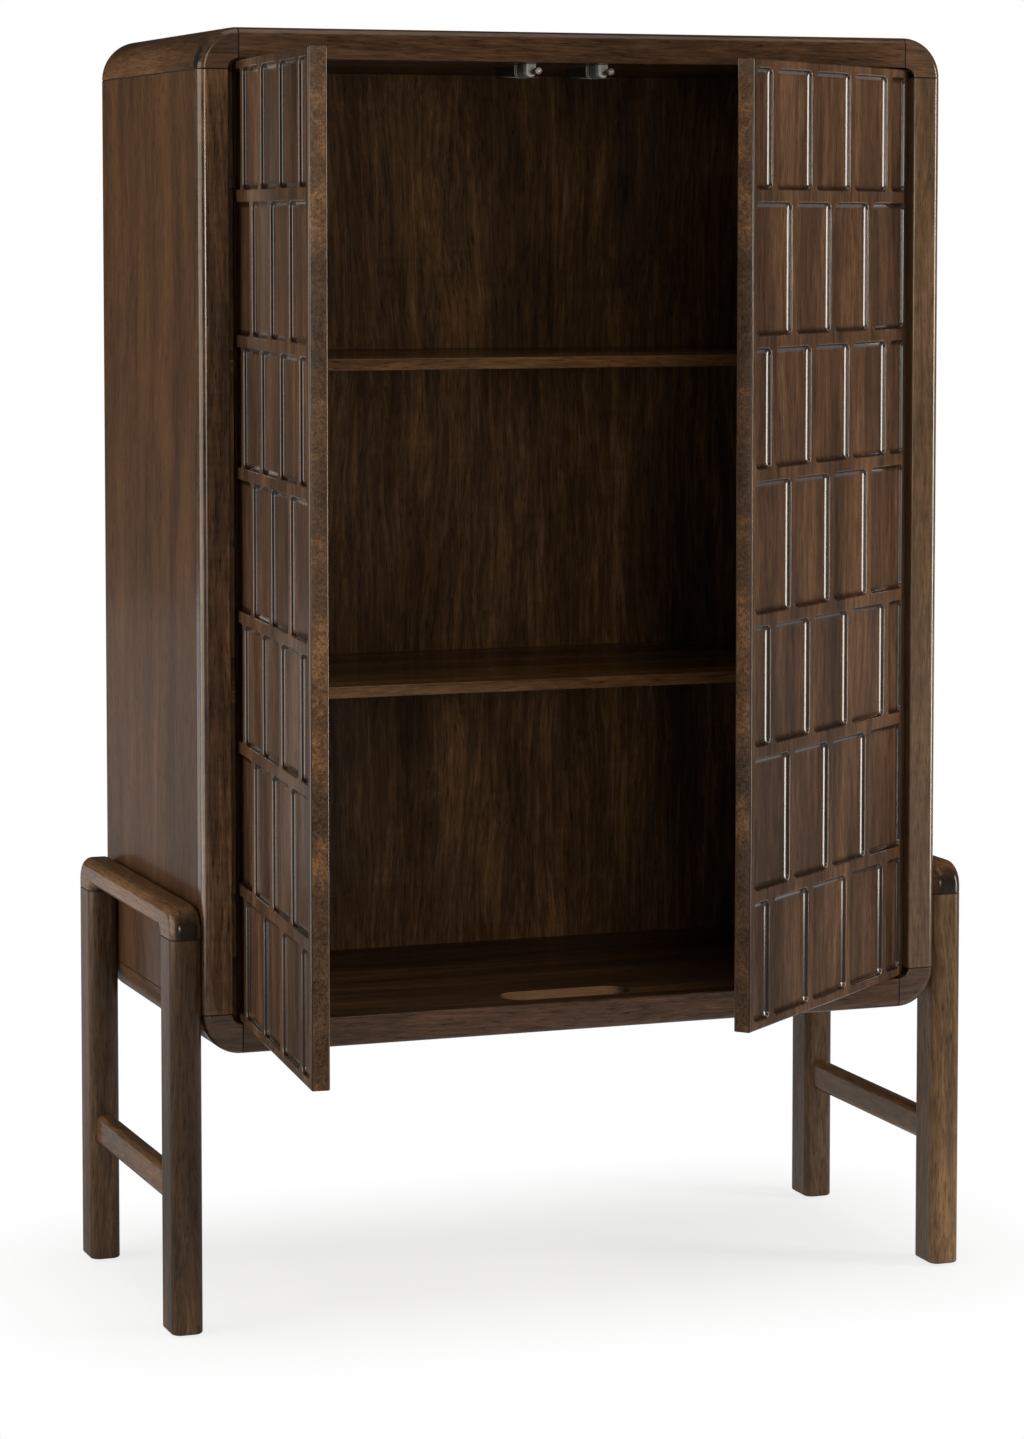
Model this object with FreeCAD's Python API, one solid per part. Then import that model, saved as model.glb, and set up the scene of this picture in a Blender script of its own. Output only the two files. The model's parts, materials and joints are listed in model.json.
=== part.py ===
"""Two-door accent cabinet: a rounded case carried between two inverted-U leg frames.

Millimetres. X runs along the front, Y runs from front to back, Z is up.
The origin is on the floor, under the centre of the case.
"""
import FreeCAD
import Part
import math
import os

Vector = FreeCAD.Vector

# Case
CASE_WIDTH = 940.0
CASE_DEPTH = 440.0
CASE_HEIGHT = 1193.0
FLOOR_CLEARANCE = 331.0
CASE_WALL = 36.0
CORNER_RADIUS = 48.0
BACK_THICKNESS = 8.0
BACK_REBATE = 14.0
BACK_FIT = 0.2

# Face frame on the front of the case
FRAME_DEPTH = 22.0
FRAME_BULLNOSE = 9.0
FRAME_EASE = 2.0

# Finger slot in the floor of the case
SLOT_LENGTH = 165.0
SLOT_WIDTH = 54.0
SLOT_SETBACK = 27.0

# Doors, with their carved pockets
DOOR_THICKNESS = 21.0
HINGE_SIDE_GAP = 3.0
MEETING_GAP = 3.0
DOOR_END_GAP = 2.0
DOOR_EASE = 2.0
POCKET_COLUMNS = 4
POCKET_ROWS = 7
TALL_ROW_EXTRA = 14.0
RIDGE_WIDTH = 13.0
ROW_GAP = 14.0
POCKET_BORDER = 10.0
POCKET_DEPTH = 5.0
POCKET_COVE_RUN = 8.0
POCKET_LIP = 1.2
POCKET_CORNER = 11.0
COVE_STEPS = (30, 60, 90)
LEFT_DOOR_ANGLE = 95.5
RIGHT_DOOR_ANGLE = 40.5

# Concealed hinges
HINGE_SPREAD = 418.0
PIVOT_FROM_WALL = 21.0
PIVOT_FROM_FRONT = 10.5
CUP_RADIUS = 20.0
CUP_WALL = 1.0
CUP_EDGE_DISTANCE = 4.0
CUP_SKIN = 6.0
CUP_FIT = 0.1
FLANGE_LIP = 3.0
FLANGE_THICKNESS = 1.0
FLANGE_EAR_REACH = 28.0
FLANGE_EAR_RADIUS = 6.0
PIN_RADIUS = 1.5
PIN_FIT = 0.05
KNUCKLE_RADIUS = 2.8
NECK_START = 2.5
ARM_THICKNESS = 1.8
ARM_HEIGHT = 10.0
ARM_ELBOW_RADIUS = 25.0
ARM_EXIT_ANGLE = 31.0
ARM_PLATE_THICKNESS = 2.0
ARM_PLATE_LENGTH = 40.0
ARM_SCREW_SETBACK = 24.0
ARM_SCREW_PITCH = 20.0
ARM_SCREW_MARGIN = 9.5

# Push latches under the top of the case
LATCH_SPACING = 92.0
LATCH_DROP = 9.0
STRIKE_RADIUS = 6.0
STRIKE_THICKNESS = 1.0
LATCH_CONTACT_GAP = 0.3
PLUNGER_RADIUS = 4.0
PLUNGER_FIT = 0.08
PLUNGER_REACH = 26.0
PLUNGER_TAIL = 30.0
PLUNGER_TRAVEL = 4.0
PLUNGER_EYE_RADIUS = 1.6
PLUNGER_EYE_DEPTH = 2.0
SLEEVE_RADIUS = 6.0
SLEEVE_LENGTH = 34.0
HOUSING_WIDTH = 18.0
HOUSING_LENGTH = 70.0
HOUSING_CORNER = 5.0
HOUSING_TAIL_ROUND = 4.0

# Shelves
SHELF_THICKNESS = 14.0
SHELF_SETBACK = 66.0
SHELF_FIT = 1.0
UPPER_SHELF_HEIGHT = 808.0
LOWER_SHELF_HEIGHT = 419.0
SUPPORT_PIN_RADIUS = 2.5
SUPPORT_PIN_DEPTH = 10.0
SUPPORT_TAB_WIDTH = 12.0
SUPPORT_TAB_REACH = 14.0
SUPPORT_TAB_THICKNESS = 2.0
SUPPORT_INSET = 50.0

# Leg frames
LEG_WIDTH = 38.0
LEG_DEPTH = 58.0
LEG_EDGE_RADIUS = 12.0
FOOT_EASE = 2.5
LEG_RAIL_RISE = 177.0
LEG_RAIL_HEIGHT = 33.0
LEG_RAIL_OUTER_RADIUS = 30.0
LEG_RAIL_INNER_RADIUS = 6.0
STRETCHER_HEIGHT = 38.0
STRETCHER_WIDTH = 22.0
STRETCHER_EDGE_RADIUS = 8.0
STRETCHER_CENTRE = 168.0
GLIDE_RADIUS = 12.0
GLIDE_HEIGHT = 3.0

# Fasteners
FASTENER_FIT = 0.1
LEG_BOLT_RADIUS = 4.0
LEG_BOLT_HEAD_RADIUS = 8.0
LEG_BOLT_HEAD_HEIGHT = 5.0
LEG_BOLT_BITE = 24.0
LEG_BOLT_INSET = 38.0
LEG_BOLT_LOWER = 24.0
LEG_BOLT_PITCH = 40.0
SCREW_RADIUS = 1.75
SCREW_HEAD_RADIUS = 3.5
SCREW_HEAD_HEIGHT = 1.5
HINGE_SCREW_BITE = 12.0
BACK_SCREW_BITE = 16.0
BACK_SCREW_END = 90.0
BACK_SCREW_ROWS = 4
BACK_SCREW_COLUMNS = 3

# Places that follow from the sizes above
FRONT = -CASE_DEPTH / 2
BACK = CASE_DEPTH / 2
CASE_BOTTOM = FLOOR_CLEARANCE
CASE_TOP = FLOOR_CLEARANCE + CASE_HEIGHT
CASE_MIDDLE = FLOOR_CLEARANCE + CASE_HEIGHT / 2
HALF_WIDTH = CASE_WIDTH / 2
INNER_HALF_WIDTH = HALF_WIDTH - CASE_WALL
FLOOR_LEVEL = CASE_BOTTOM + CASE_WALL
CEILING_LEVEL = CASE_TOP - CASE_WALL
INNER_CORNER = CORNER_RADIUS - CASE_WALL
BACK_FACE = BACK - BACK_THICKNESS
LEG_RAIL_TOP = CASE_BOTTOM + LEG_RAIL_RISE
LEG_SEAM = LEG_RAIL_TOP - LEG_RAIL_HEIGHT - LEG_RAIL_INNER_RADIUS
HINGE_LEVELS = [CASE_MIDDLE + step * HINGE_SPREAD for step in (-1, 0, 1)]
DOOR_WIDTH = INNER_HALF_WIDTH - HINGE_SIDE_GAP - MEETING_GAP / 2
DOOR_BOTTOM = FLOOR_LEVEL + DOOR_END_GAP
DOOR_TOP = CEILING_LEVEL - DOOR_END_GAP
DOOR_BACK = FRONT + DOOR_THICKNESS
PIVOT_X = -INNER_HALF_WIDTH + PIVOT_FROM_WALL
PIVOT_Y = FRONT + PIVOT_FROM_FRONT
CUP_CENTRE_X = -INNER_HALF_WIDTH + HINGE_SIDE_GAP + CUP_EDGE_DISTANCE + CUP_RADIUS
ARM_PLATE_HEIGHT = ARM_SCREW_PITCH + 2 * (SCREW_HEAD_RADIUS + ARM_SCREW_MARGIN)
LATCH_AXIS_Z = CEILING_LEVEL - LATCH_DROP
LATCH_X = -LATCH_SPACING / 2
LATCH_TIP_Y = DOOR_BACK + STRIKE_THICKNESS + LATCH_CONTACT_GAP
SLEEVE_Y = LATCH_TIP_Y + PLUNGER_REACH
HOUSING_Y = SLEEVE_Y + SLEEVE_LENGTH

NEAR = 1e-3
X_AXIS = Vector(1, 0, 0)
Y_AXIS = Vector(0, 1, 0)
Z_AXIS = Vector(0, 0, 1)


def block(x0, x1, y0, y1, z0, z1):
    return Part.makeBox(x1 - x0, y1 - y0, z1 - z0, Vector(x0, y0, z0))


def rod(radius, length, base, axis):
    return Part.makeCylinder(radius, length, base, axis)


def round_rectangle(low, high, radii, place):
    """Closed outline with its own radius at each corner, anticlockwise from the low one.

    place turns the two outline coordinates into a point in space.
    """
    (a0, b0), (a1, b1) = low, high
    turns = ((a0, b0, 1, 1), (a1, b0, -1, 1), (a1, b1, -1, -1), (a0, b1, 1, -1))
    stations = []
    for index, ((a, b, sa, sb), radius) in enumerate(zip(turns, radii)):
        along = (a + sa * radius, b)
        across = (a, b + sb * radius)
        middle = radius * (1 - math.sqrt(0.5))
        crown = (a + sa * middle, b + sb * middle)
        first, last = (across, along) if index % 2 == 0 else (along, across)
        stations.append((first, crown, last, radius))
    edges = []
    for here, following in zip(stations, stations[1:] + stations[:1]):
        first, crown, last, radius = here
        if radius > 0:
            edges.append(Part.Arc(place(*first), place(*crown), place(*last)).toShape())
        start, end = place(*last), place(*following[0])
        if start.distanceToPoint(end) > NEAR:
            edges.append(Part.LineSegment(start, end).toShape())
    return Part.Wire(edges)


def front_slab(x0, x1, z0, z1, radii, y0, y1):
    """A plate parallel to the front, cut to a rounded outline."""
    wire = round_rectangle((x0, z0), (x1, z1), radii, lambda a, b: Vector(a, y0, b))
    return Part.Face(wire).extrude(Vector(0, y1 - y0, 0))


def case_slab(inset, y0, y1):
    """The case's own outline, drawn in by inset."""
    radii = [CORNER_RADIUS - inset] * 4
    half = HALF_WIDTH - inset
    return front_slab(-half, half, CASE_BOTTOM + inset, CASE_TOP - inset, radii, y0, y1)


def mirror_x(shape):
    return shape.mirror(Vector(0, 0, 0), X_AXIS)


def both_sides(name, shape):
    """A left-hand piece and its mirror image on the right."""
    return {"left_" + name: shape, "right_" + name: mirror_x(shape)}


def screw(base, axis, bite):
    """A screw whose head sits on base, with the shank running along axis."""
    shank = rod(SCREW_RADIUS, bite, base, axis)
    head = rod(SCREW_HEAD_RADIUS, SCREW_HEAD_HEIGHT, base - axis * SCREW_HEAD_HEIGHT, axis)
    return head.fuse(shank).removeSplitter()


def screw_hole(base, axis, bite):
    return rod(SCREW_RADIUS + FASTENER_FIT, bite, base, axis)


def split_ring(ring, y0, y1):
    """Cut a ring at the corners' tangent points into two rails, two stiles and four corners."""
    seam_x = HALF_WIDTH - CORNER_RADIUS
    seam_low = CASE_BOTTOM + CORNER_RADIUS
    seam_high = CASE_TOP - CORNER_RADIUS
    columns = {
        "left": (-HALF_WIDTH, -seam_x),
        "middle": (-seam_x, seam_x),
        "right": (seam_x, HALF_WIDTH),
    }
    rows = {
        "bottom": (CASE_BOTTOM, seam_low),
        "middle": (seam_low, seam_high),
        "top": (seam_high, CASE_TOP),
    }
    pieces = {}
    for row, (z0, z1) in rows.items():
        for column, (x0, x1) in columns.items():
            if (row, column) != ("middle", "middle"):
                pieces[row, column] = ring.common(block(x0, x1, y0, y1, z0, z1))
    return pieces


def leg_bolt_points():
    """Where the bolts enter the inner face of the left wall."""
    lower = CASE_BOTTOM + CORNER_RADIUS + LEG_BOLT_LOWER
    for y in (FRONT + LEG_BOLT_INSET, BACK - LEG_BOLT_INSET):
        for z in (lower, lower + LEG_BOLT_PITCH):
            yield Vector(-INNER_HALF_WIDTH, y, z)


def shelf_support_points(shelf_height):
    """Pin centres on the left wall, just under a shelf."""
    z = CASE_BOTTOM + shelf_height - SHELF_THICKNESS - SUPPORT_TAB_THICKNESS - SUPPORT_PIN_RADIUS
    for y in (FRONT + SHELF_SETBACK + SUPPORT_INSET, BACK_FACE - SUPPORT_INSET):
        yield Vector(-INNER_HALF_WIDTH, y, z)


def arm_screw_points():
    """Screw seats on the plates of the left hinge arms."""
    x = -INNER_HALF_WIDTH + ARM_PLATE_THICKNESS
    y = PIVOT_Y + ARM_ELBOW_RADIUS + ARM_SCREW_SETBACK
    for level in HINGE_LEVELS:
        for side in (-1, 1):
            yield Vector(x, y, level + side * ARM_SCREW_PITCH / 2)


def back_screw_points():
    """Screw seats round the rim of the back panel."""
    inset = BACK_REBATE + (CASE_WALL - BACK_REBATE) / 2
    x_end = HALF_WIDTH - inset
    z_reach = CASE_HEIGHT / 2 - BACK_SCREW_END
    x_reach = HALF_WIDTH - CORNER_RADIUS
    for row in range(BACK_SCREW_ROWS):
        z = CASE_MIDDLE - z_reach + 2 * z_reach * row / (BACK_SCREW_ROWS - 1)
        yield Vector(-x_end, BACK, z)
        yield Vector(x_end, BACK, z)
    for column in range(BACK_SCREW_COLUMNS):
        x = -x_reach + 2 * x_reach * (column + 0.5) / BACK_SCREW_COLUMNS
        yield Vector(x, BACK, CASE_BOTTOM + inset)
        yield Vector(x, BACK, CASE_TOP - inset)


def front_edges(ring, round_opening):
    """Edges on the front plane, either round the opening or round the outside."""
    chosen = []
    for edge in ring.Edges:
        middle = edge.CenterOfMass
        in_width = abs(middle.x) < INNER_HALF_WIDTH + NEAR
        in_height = FLOOR_LEVEL - NEAR < middle.z < CEILING_LEVEL + NEAR
        if edge.BoundBox.YMax < FRONT + NEAR and (in_width and in_height) == round_opening:
            chosen.append(edge)
    return chosen


def face_frame():
    """Front ring with a bullnosed outer edge and an eased opening, in eight pieces."""
    rear = FRONT + FRAME_DEPTH
    ring = case_slab(0, FRONT, rear).cut(case_slab(CASE_WALL, FRONT, rear))
    ring = ring.makeFillet(FRAME_BULLNOSE, front_edges(ring, False))
    ring = ring.makeFillet(FRAME_EASE, front_edges(ring, True))
    pieces = split_ring(ring, FRONT, rear)
    return {
        "top_rail": pieces["top", "middle"],
        "bottom_rail": pieces["bottom", "middle"],
        "left_stile": pieces["middle", "left"],
        "right_stile": pieces["middle", "right"],
        "top_left_frame_corner": pieces["top", "left"],
        "top_right_frame_corner": pieces["top", "right"],
        "bottom_left_frame_corner": pieces["bottom", "left"],
        "bottom_right_frame_corner": pieces["bottom", "right"],
    }


def finger_slot():
    """Stadium-shaped opening through the floor, just behind the closed doors."""
    y0 = FRONT + SLOT_SETBACK
    radius = SLOT_WIDTH / 2
    half = SLOT_LENGTH / 2
    wire = round_rectangle(
        (-half, y0), (half, y0 + SLOT_WIDTH), [radius] * 4, lambda a, b: Vector(a, b, CASE_BOTTOM)
    )
    return Part.Face(wire).extrude(Vector(0, 0, CASE_WALL))


def case_walls():
    """Top, floor, sides and the four long corner posts behind the face frame."""
    front = FRONT + FRAME_DEPTH
    ring = case_slab(0, front, BACK).cut(case_slab(CASE_WALL, front, BACK))
    ring = ring.cut(case_slab(BACK_REBATE, BACK_FACE, BACK))
    pieces = split_ring(ring, front, BACK)
    walls = {
        "top_panel": pieces["top", "middle"],
        "bottom_panel": pieces["bottom", "middle"].cut(finger_slot()),
        "left_side_panel": pieces["middle", "left"],
        "right_side_panel": pieces["middle", "right"],
        "top_left_corner_post": pieces["top", "left"],
        "top_right_corner_post": pieces["top", "right"],
        "bottom_left_corner_post": pieces["bottom", "left"],
        "bottom_right_corner_post": pieces["bottom", "right"],
    }
    holes = side_wall_holes()
    walls["left_side_panel"] = walls["left_side_panel"].cut(holes)
    walls["right_side_panel"] = walls["right_side_panel"].cut([mirror_x(hole) for hole in holes])
    back_holes = [screw_hole(point, -Y_AXIS, BACK_SCREW_BITE) for point in back_screw_points()]
    return {name: wall.cut(back_holes) for name, wall in walls.items()}


def side_wall_holes():
    """Drillings in the left wall for leg bolts, hinge screws and shelf supports."""
    holes = []
    for point in leg_bolt_points():
        holes.append(rod(LEG_BOLT_RADIUS + FASTENER_FIT, CASE_WALL, point, -X_AXIS))
        holes.append(rod(LEG_BOLT_HEAD_RADIUS + FASTENER_FIT, LEG_BOLT_HEAD_HEIGHT, point, -X_AXIS))
    for point in arm_screw_points():
        holes.append(screw_hole(point, -X_AXIS, HINGE_SCREW_BITE))
    for height in (UPPER_SHELF_HEIGHT, LOWER_SHELF_HEIGHT):
        for point in shelf_support_points(height):
            holes.append(rod(SUPPORT_PIN_RADIUS + FASTENER_FIT, SUPPORT_PIN_DEPTH, point, -X_AXIS))
    return holes


def back():
    panel = case_slab(BACK_REBATE + BACK_FIT, BACK_FACE, BACK)
    points = list(back_screw_points())
    holes = [screw_hole(point, -Y_AXIS, BACK_SCREW_BITE) for point in points]
    screws = [screw(point, -Y_AXIS, BACK_SCREW_BITE) for point in points]
    return {"back_panel": panel.cut(holes), "back_screws": Part.Compound(screws)}


def shelf(height):
    reach = INNER_HALF_WIDTH - SHELF_FIT
    top = CASE_BOTTOM + height
    return block(-reach, reach, FRONT + SHELF_SETBACK, BACK_FACE - SHELF_FIT, top - SHELF_THICKNESS, top)


def shelf_supports(height):
    """Four spoon-shaped supports: a pin in the wall and a flat tab under the shelf."""
    left = []
    for point in shelf_support_points(height):
        pin = rod(SUPPORT_PIN_RADIUS, SUPPORT_PIN_DEPTH, point, -X_AXIS)
        boss = rod(SUPPORT_PIN_RADIUS, SUPPORT_TAB_REACH, point, X_AXIS)
        z0 = point.z + SUPPORT_PIN_RADIUS
        tab = block(
            point.x,
            point.x + SUPPORT_TAB_REACH,
            point.y - SUPPORT_TAB_WIDTH / 2,
            point.y + SUPPORT_TAB_WIDTH / 2,
            z0 - SUPPORT_PIN_RADIUS,
            z0 + SUPPORT_TAB_THICKNESS,
        )
        left.append(pin.fuse([boss, tab]).removeSplitter())
    return Part.Compound(left + [mirror_x(support) for support in left])


def leg_frame():
    """Left inverted U: two legs, a turned-down top rail and a low stretcher."""
    x0 = -HALF_WIDTH - LEG_WIDTH
    x1 = -HALF_WIDTH

    def place(a, b):
        return Vector(x0, a, b)

    outer_radii = [0, 0, LEG_RAIL_OUTER_RADIUS, LEG_RAIL_OUTER_RADIUS]
    inner_radii = [0, 0, LEG_RAIL_INNER_RADIUS, LEG_RAIL_INNER_RADIUS]
    outer = round_rectangle((FRONT, GLIDE_HEIGHT), (BACK, LEG_RAIL_TOP), outer_radii, place)
    inner = round_rectangle(
        (FRONT + LEG_DEPTH, GLIDE_HEIGHT),
        (BACK - LEG_DEPTH, LEG_RAIL_TOP - LEG_RAIL_HEIGHT),
        inner_radii,
        place,
    )
    across = Vector(LEG_WIDTH, 0, 0)
    arch = Part.Face(outer).extrude(across).cut(Part.Face(inner).extrude(across))
    rims = []
    for edge in arch.Edges:
        box = edge.BoundBox
        on_side = box.XLength < NEAR
        on_floor = box.ZMax < GLIDE_HEIGHT + NEAR
        if on_side and not on_floor:
            rims.append(edge)
    arch = arch.makeFillet(LEG_EDGE_RADIUS, rims)
    soles = [edge for edge in arch.Edges if edge.BoundBox.ZMax < GLIDE_HEIGHT + NEAR]
    arch = arch.makeFillet(FOOT_EASE, soles)
    bolt_holes = []
    for point in leg_bolt_points():
        length = CASE_WALL + LEG_BOLT_BITE
        bolt_holes.append(rod(LEG_BOLT_RADIUS + FASTENER_FIT, length, point, -X_AXIS))
    front_leg = arch.common(block(x0, x1, FRONT, 0, 0, LEG_SEAM)).cut(bolt_holes)
    back_leg = arch.common(block(x0, x1, 0, BACK, 0, LEG_SEAM)).cut(bolt_holes)
    rail = arch.common(block(x0, x1, FRONT, BACK, LEG_SEAM, LEG_RAIL_TOP))
    pieces = {"leg_rail": rail, "front_leg": front_leg, "back_leg": back_leg}
    pieces["stretcher"] = stretcher().cut([front_leg, back_leg])
    return pieces


def stretcher():
    """Low side bar, run into both legs so that its ends can be scribed to their rounded faces."""
    middle = -HALF_WIDTH - LEG_WIDTH / 2
    start = FRONT + LEG_DEPTH - LEG_EDGE_RADIUS
    low = (middle - STRETCHER_WIDTH / 2, STRETCHER_CENTRE - STRETCHER_HEIGHT / 2)
    high = (middle + STRETCHER_WIDTH / 2, STRETCHER_CENTRE + STRETCHER_HEIGHT / 2)
    wire = round_rectangle(low, high, [STRETCHER_EDGE_RADIUS] * 4, lambda a, b: Vector(a, start, b))
    return Part.Face(wire).extrude(Vector(0, -2 * start, 0))


def glides():
    x = -HALF_WIDTH - LEG_WIDTH / 2
    feet = (FRONT + LEG_DEPTH / 2, BACK - LEG_DEPTH / 2)
    return Part.Compound([rod(GLIDE_RADIUS, GLIDE_HEIGHT, Vector(x, y, 0), Z_AXIS) for y in feet])


def leg_bolts():
    """Bolts from inside the case into the legs, heads sunk flush with the wall."""
    bolts = []
    for point in leg_bolt_points():
        head = rod(LEG_BOLT_HEAD_RADIUS, LEG_BOLT_HEAD_HEIGHT, point, -X_AXIS)
        shank = rod(LEG_BOLT_RADIUS, CASE_WALL + LEG_BOLT_BITE, point, -X_AXIS)
        bolts.append(head.fuse(shank).removeSplitter())
    return Part.Compound(bolts)


def pocket_spans(row):
    """Start and end of each pocket in a row, measured from the hinge side of the door."""
    first = POCKET_BORDER - RIDGE_WIDTH / 2
    pitch = (DOOR_WIDTH - 2 * first) / POCKET_COLUMNS
    steps = list(range(POCKET_COLUMNS + 1))
    if row % 2 == 0:
        steps = [0] + [step + 0.5 for step in steps[:-1]] + [POCKET_COLUMNS]
    for start, end in zip(steps, steps[1:]):
        yield first + pitch * start + RIDGE_WIDTH / 2, first + pitch * end - RIDGE_WIDTH / 2


def pocket_rows():
    """Lower and upper edge of each row of pockets, from the top of the door down."""
    tall_rows = POCKET_ROWS // 2
    first = POCKET_BORDER - ROW_GAP / 2
    short = (DOOR_TOP - DOOR_BOTTOM - 2 * first - tall_rows * TALL_ROW_EXTRA) / POCKET_ROWS
    top = DOOR_TOP - first
    for row in range(POCKET_ROWS):
        bottom = top - short - (TALL_ROW_EXTRA if row % 2 else 0)
        yield row, bottom + ROW_GAP / 2, top - ROW_GAP / 2
        top = bottom


def pocket(width, height):
    """Cutter for one pocket, from its low corner: a rounded lip, then a cove down to a flat floor."""
    sections = [(-POCKET_LIP, 0.0), (0.0, POCKET_LIP)]
    for degrees in COVE_STEPS:
        angle = math.radians(degrees)
        depth = POCKET_LIP + (POCKET_DEPTH - POCKET_LIP) * math.sin(angle)
        sections.append((POCKET_COVE_RUN * (1 - math.cos(angle)), depth))
    wires = []
    for inset, depth in sections:
        wires.append(
            round_rectangle(
                (inset, inset),
                (width - inset, height - inset),
                [POCKET_CORNER - inset] * 4,
                lambda a, b, y=FRONT + depth: Vector(a, y, b),
            )
        )
    return Part.makeLoft(wires, True, True)


def pockets(hinge_edge):
    """Every pocket of the closed left door: each shape is made once and set out in staggered rows."""
    shapes = {}
    cutters = []
    for row, z0, z1 in pocket_rows():
        for s0, s1 in pocket_spans(row):
            size = (round(s1 - s0, 3), round(z1 - z0, 3))
            if size not in shapes:
                shapes[size] = pocket(s1 - s0, z1 - z0)
            cutter = shapes[size].copy()
            cutter.translate(Vector(hinge_edge + s0, 0, z0))
            cutters.append(cutter)
    return cutters


def door_panel():
    """Closed left door: hinge-side corners follow the frame, free edge square, carved front."""
    x0 = -INNER_HALF_WIDTH + HINGE_SIDE_GAP
    x1 = x0 + DOOR_WIDTH
    corner = INNER_CORNER - DOOR_END_GAP
    radii = [corner, 0, 0, corner]
    panel = front_slab(x0, x1, DOOR_BOTTOM, DOOR_TOP, radii, FRONT, DOOR_BACK)
    rims = [e for e in panel.Edges if e.BoundBox.YLength < NEAR]
    panel = panel.makeFillet(DOOR_EASE, rims)
    panel = panel.cut(pockets(x0))
    bores = []
    for level in HINGE_LEVELS:
        mouth = Vector(CUP_CENTRE_X, DOOR_BACK, level)
        bores.append(rod(CUP_RADIUS + CUP_FIT, DOOR_THICKNESS - CUP_SKIN + CUP_FIT, mouth, -Y_AXIS))
    screws = [screw_hole(point, -Y_AXIS, HINGE_SCREW_BITE) for point in cup_screw_points()]
    return panel.cut(bores + screws)


def cup_screw_points():
    """Screw seats on the ears of the left hinge cups."""
    for level in HINGE_LEVELS:
        for side in (-1, 1):
            y = DOOR_BACK + FLANGE_THICKNESS
            yield Vector(CUP_CENTRE_X, y, level + side * FLANGE_EAR_REACH)


def hinge_cup(level):
    """Round steel cup let into the back of the door, with a flange that has two screw ears."""
    mouth = Vector(CUP_CENTRE_X, DOOR_BACK, level)
    depth = DOOR_THICKNESS - CUP_SKIN
    can = rod(CUP_RADIUS, depth, mouth, -Y_AXIS)
    flange = rod(CUP_RADIUS + FLANGE_LIP, FLANGE_THICKNESS, mouth, Y_AXIS)
    low = (CUP_CENTRE_X - FLANGE_EAR_RADIUS, level - FLANGE_EAR_REACH - FLANGE_EAR_RADIUS)
    high = (CUP_CENTRE_X + FLANGE_EAR_RADIUS, level + FLANGE_EAR_REACH + FLANGE_EAR_RADIUS)
    radii = [FLANGE_EAR_RADIUS] * 4
    ears = front_slab(low[0], high[0], low[1], high[1], radii, DOOR_BACK, DOOR_BACK + FLANGE_THICKNESS)
    hollow = rod(
        CUP_RADIUS - CUP_WALL,
        depth - CUP_WALL + FLANGE_THICKNESS,
        mouth + Y_AXIS * FLANGE_THICKNESS,
        -Y_AXIS,
    )
    cup = can.fuse([flange, ears]).removeSplitter().cut(hollow)
    pin_start = Vector(PIVOT_X, PIVOT_Y, level - CUP_RADIUS)
    pin_hole = rod(PIN_RADIUS + PIN_FIT, 2 * CUP_RADIUS, pin_start, Z_AXIS)
    holes = [screw_hole(point, -Y_AXIS, HINGE_SCREW_BITE) for point in cup_screw_points()]
    return cup.cut(holes + [pin_hole])


def hinge_pin(level):
    """Pivot pin across the cup, with its ends in the cup's wall."""
    offset = CUP_CENTRE_X - PIVOT_X
    reach = math.sqrt((CUP_RADIUS - CUP_WALL / 2) ** 2 - offset**2)
    return rod(PIN_RADIUS, 2 * reach, Vector(PIVOT_X, PIVOT_Y, level - reach), Z_AXIS)


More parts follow.
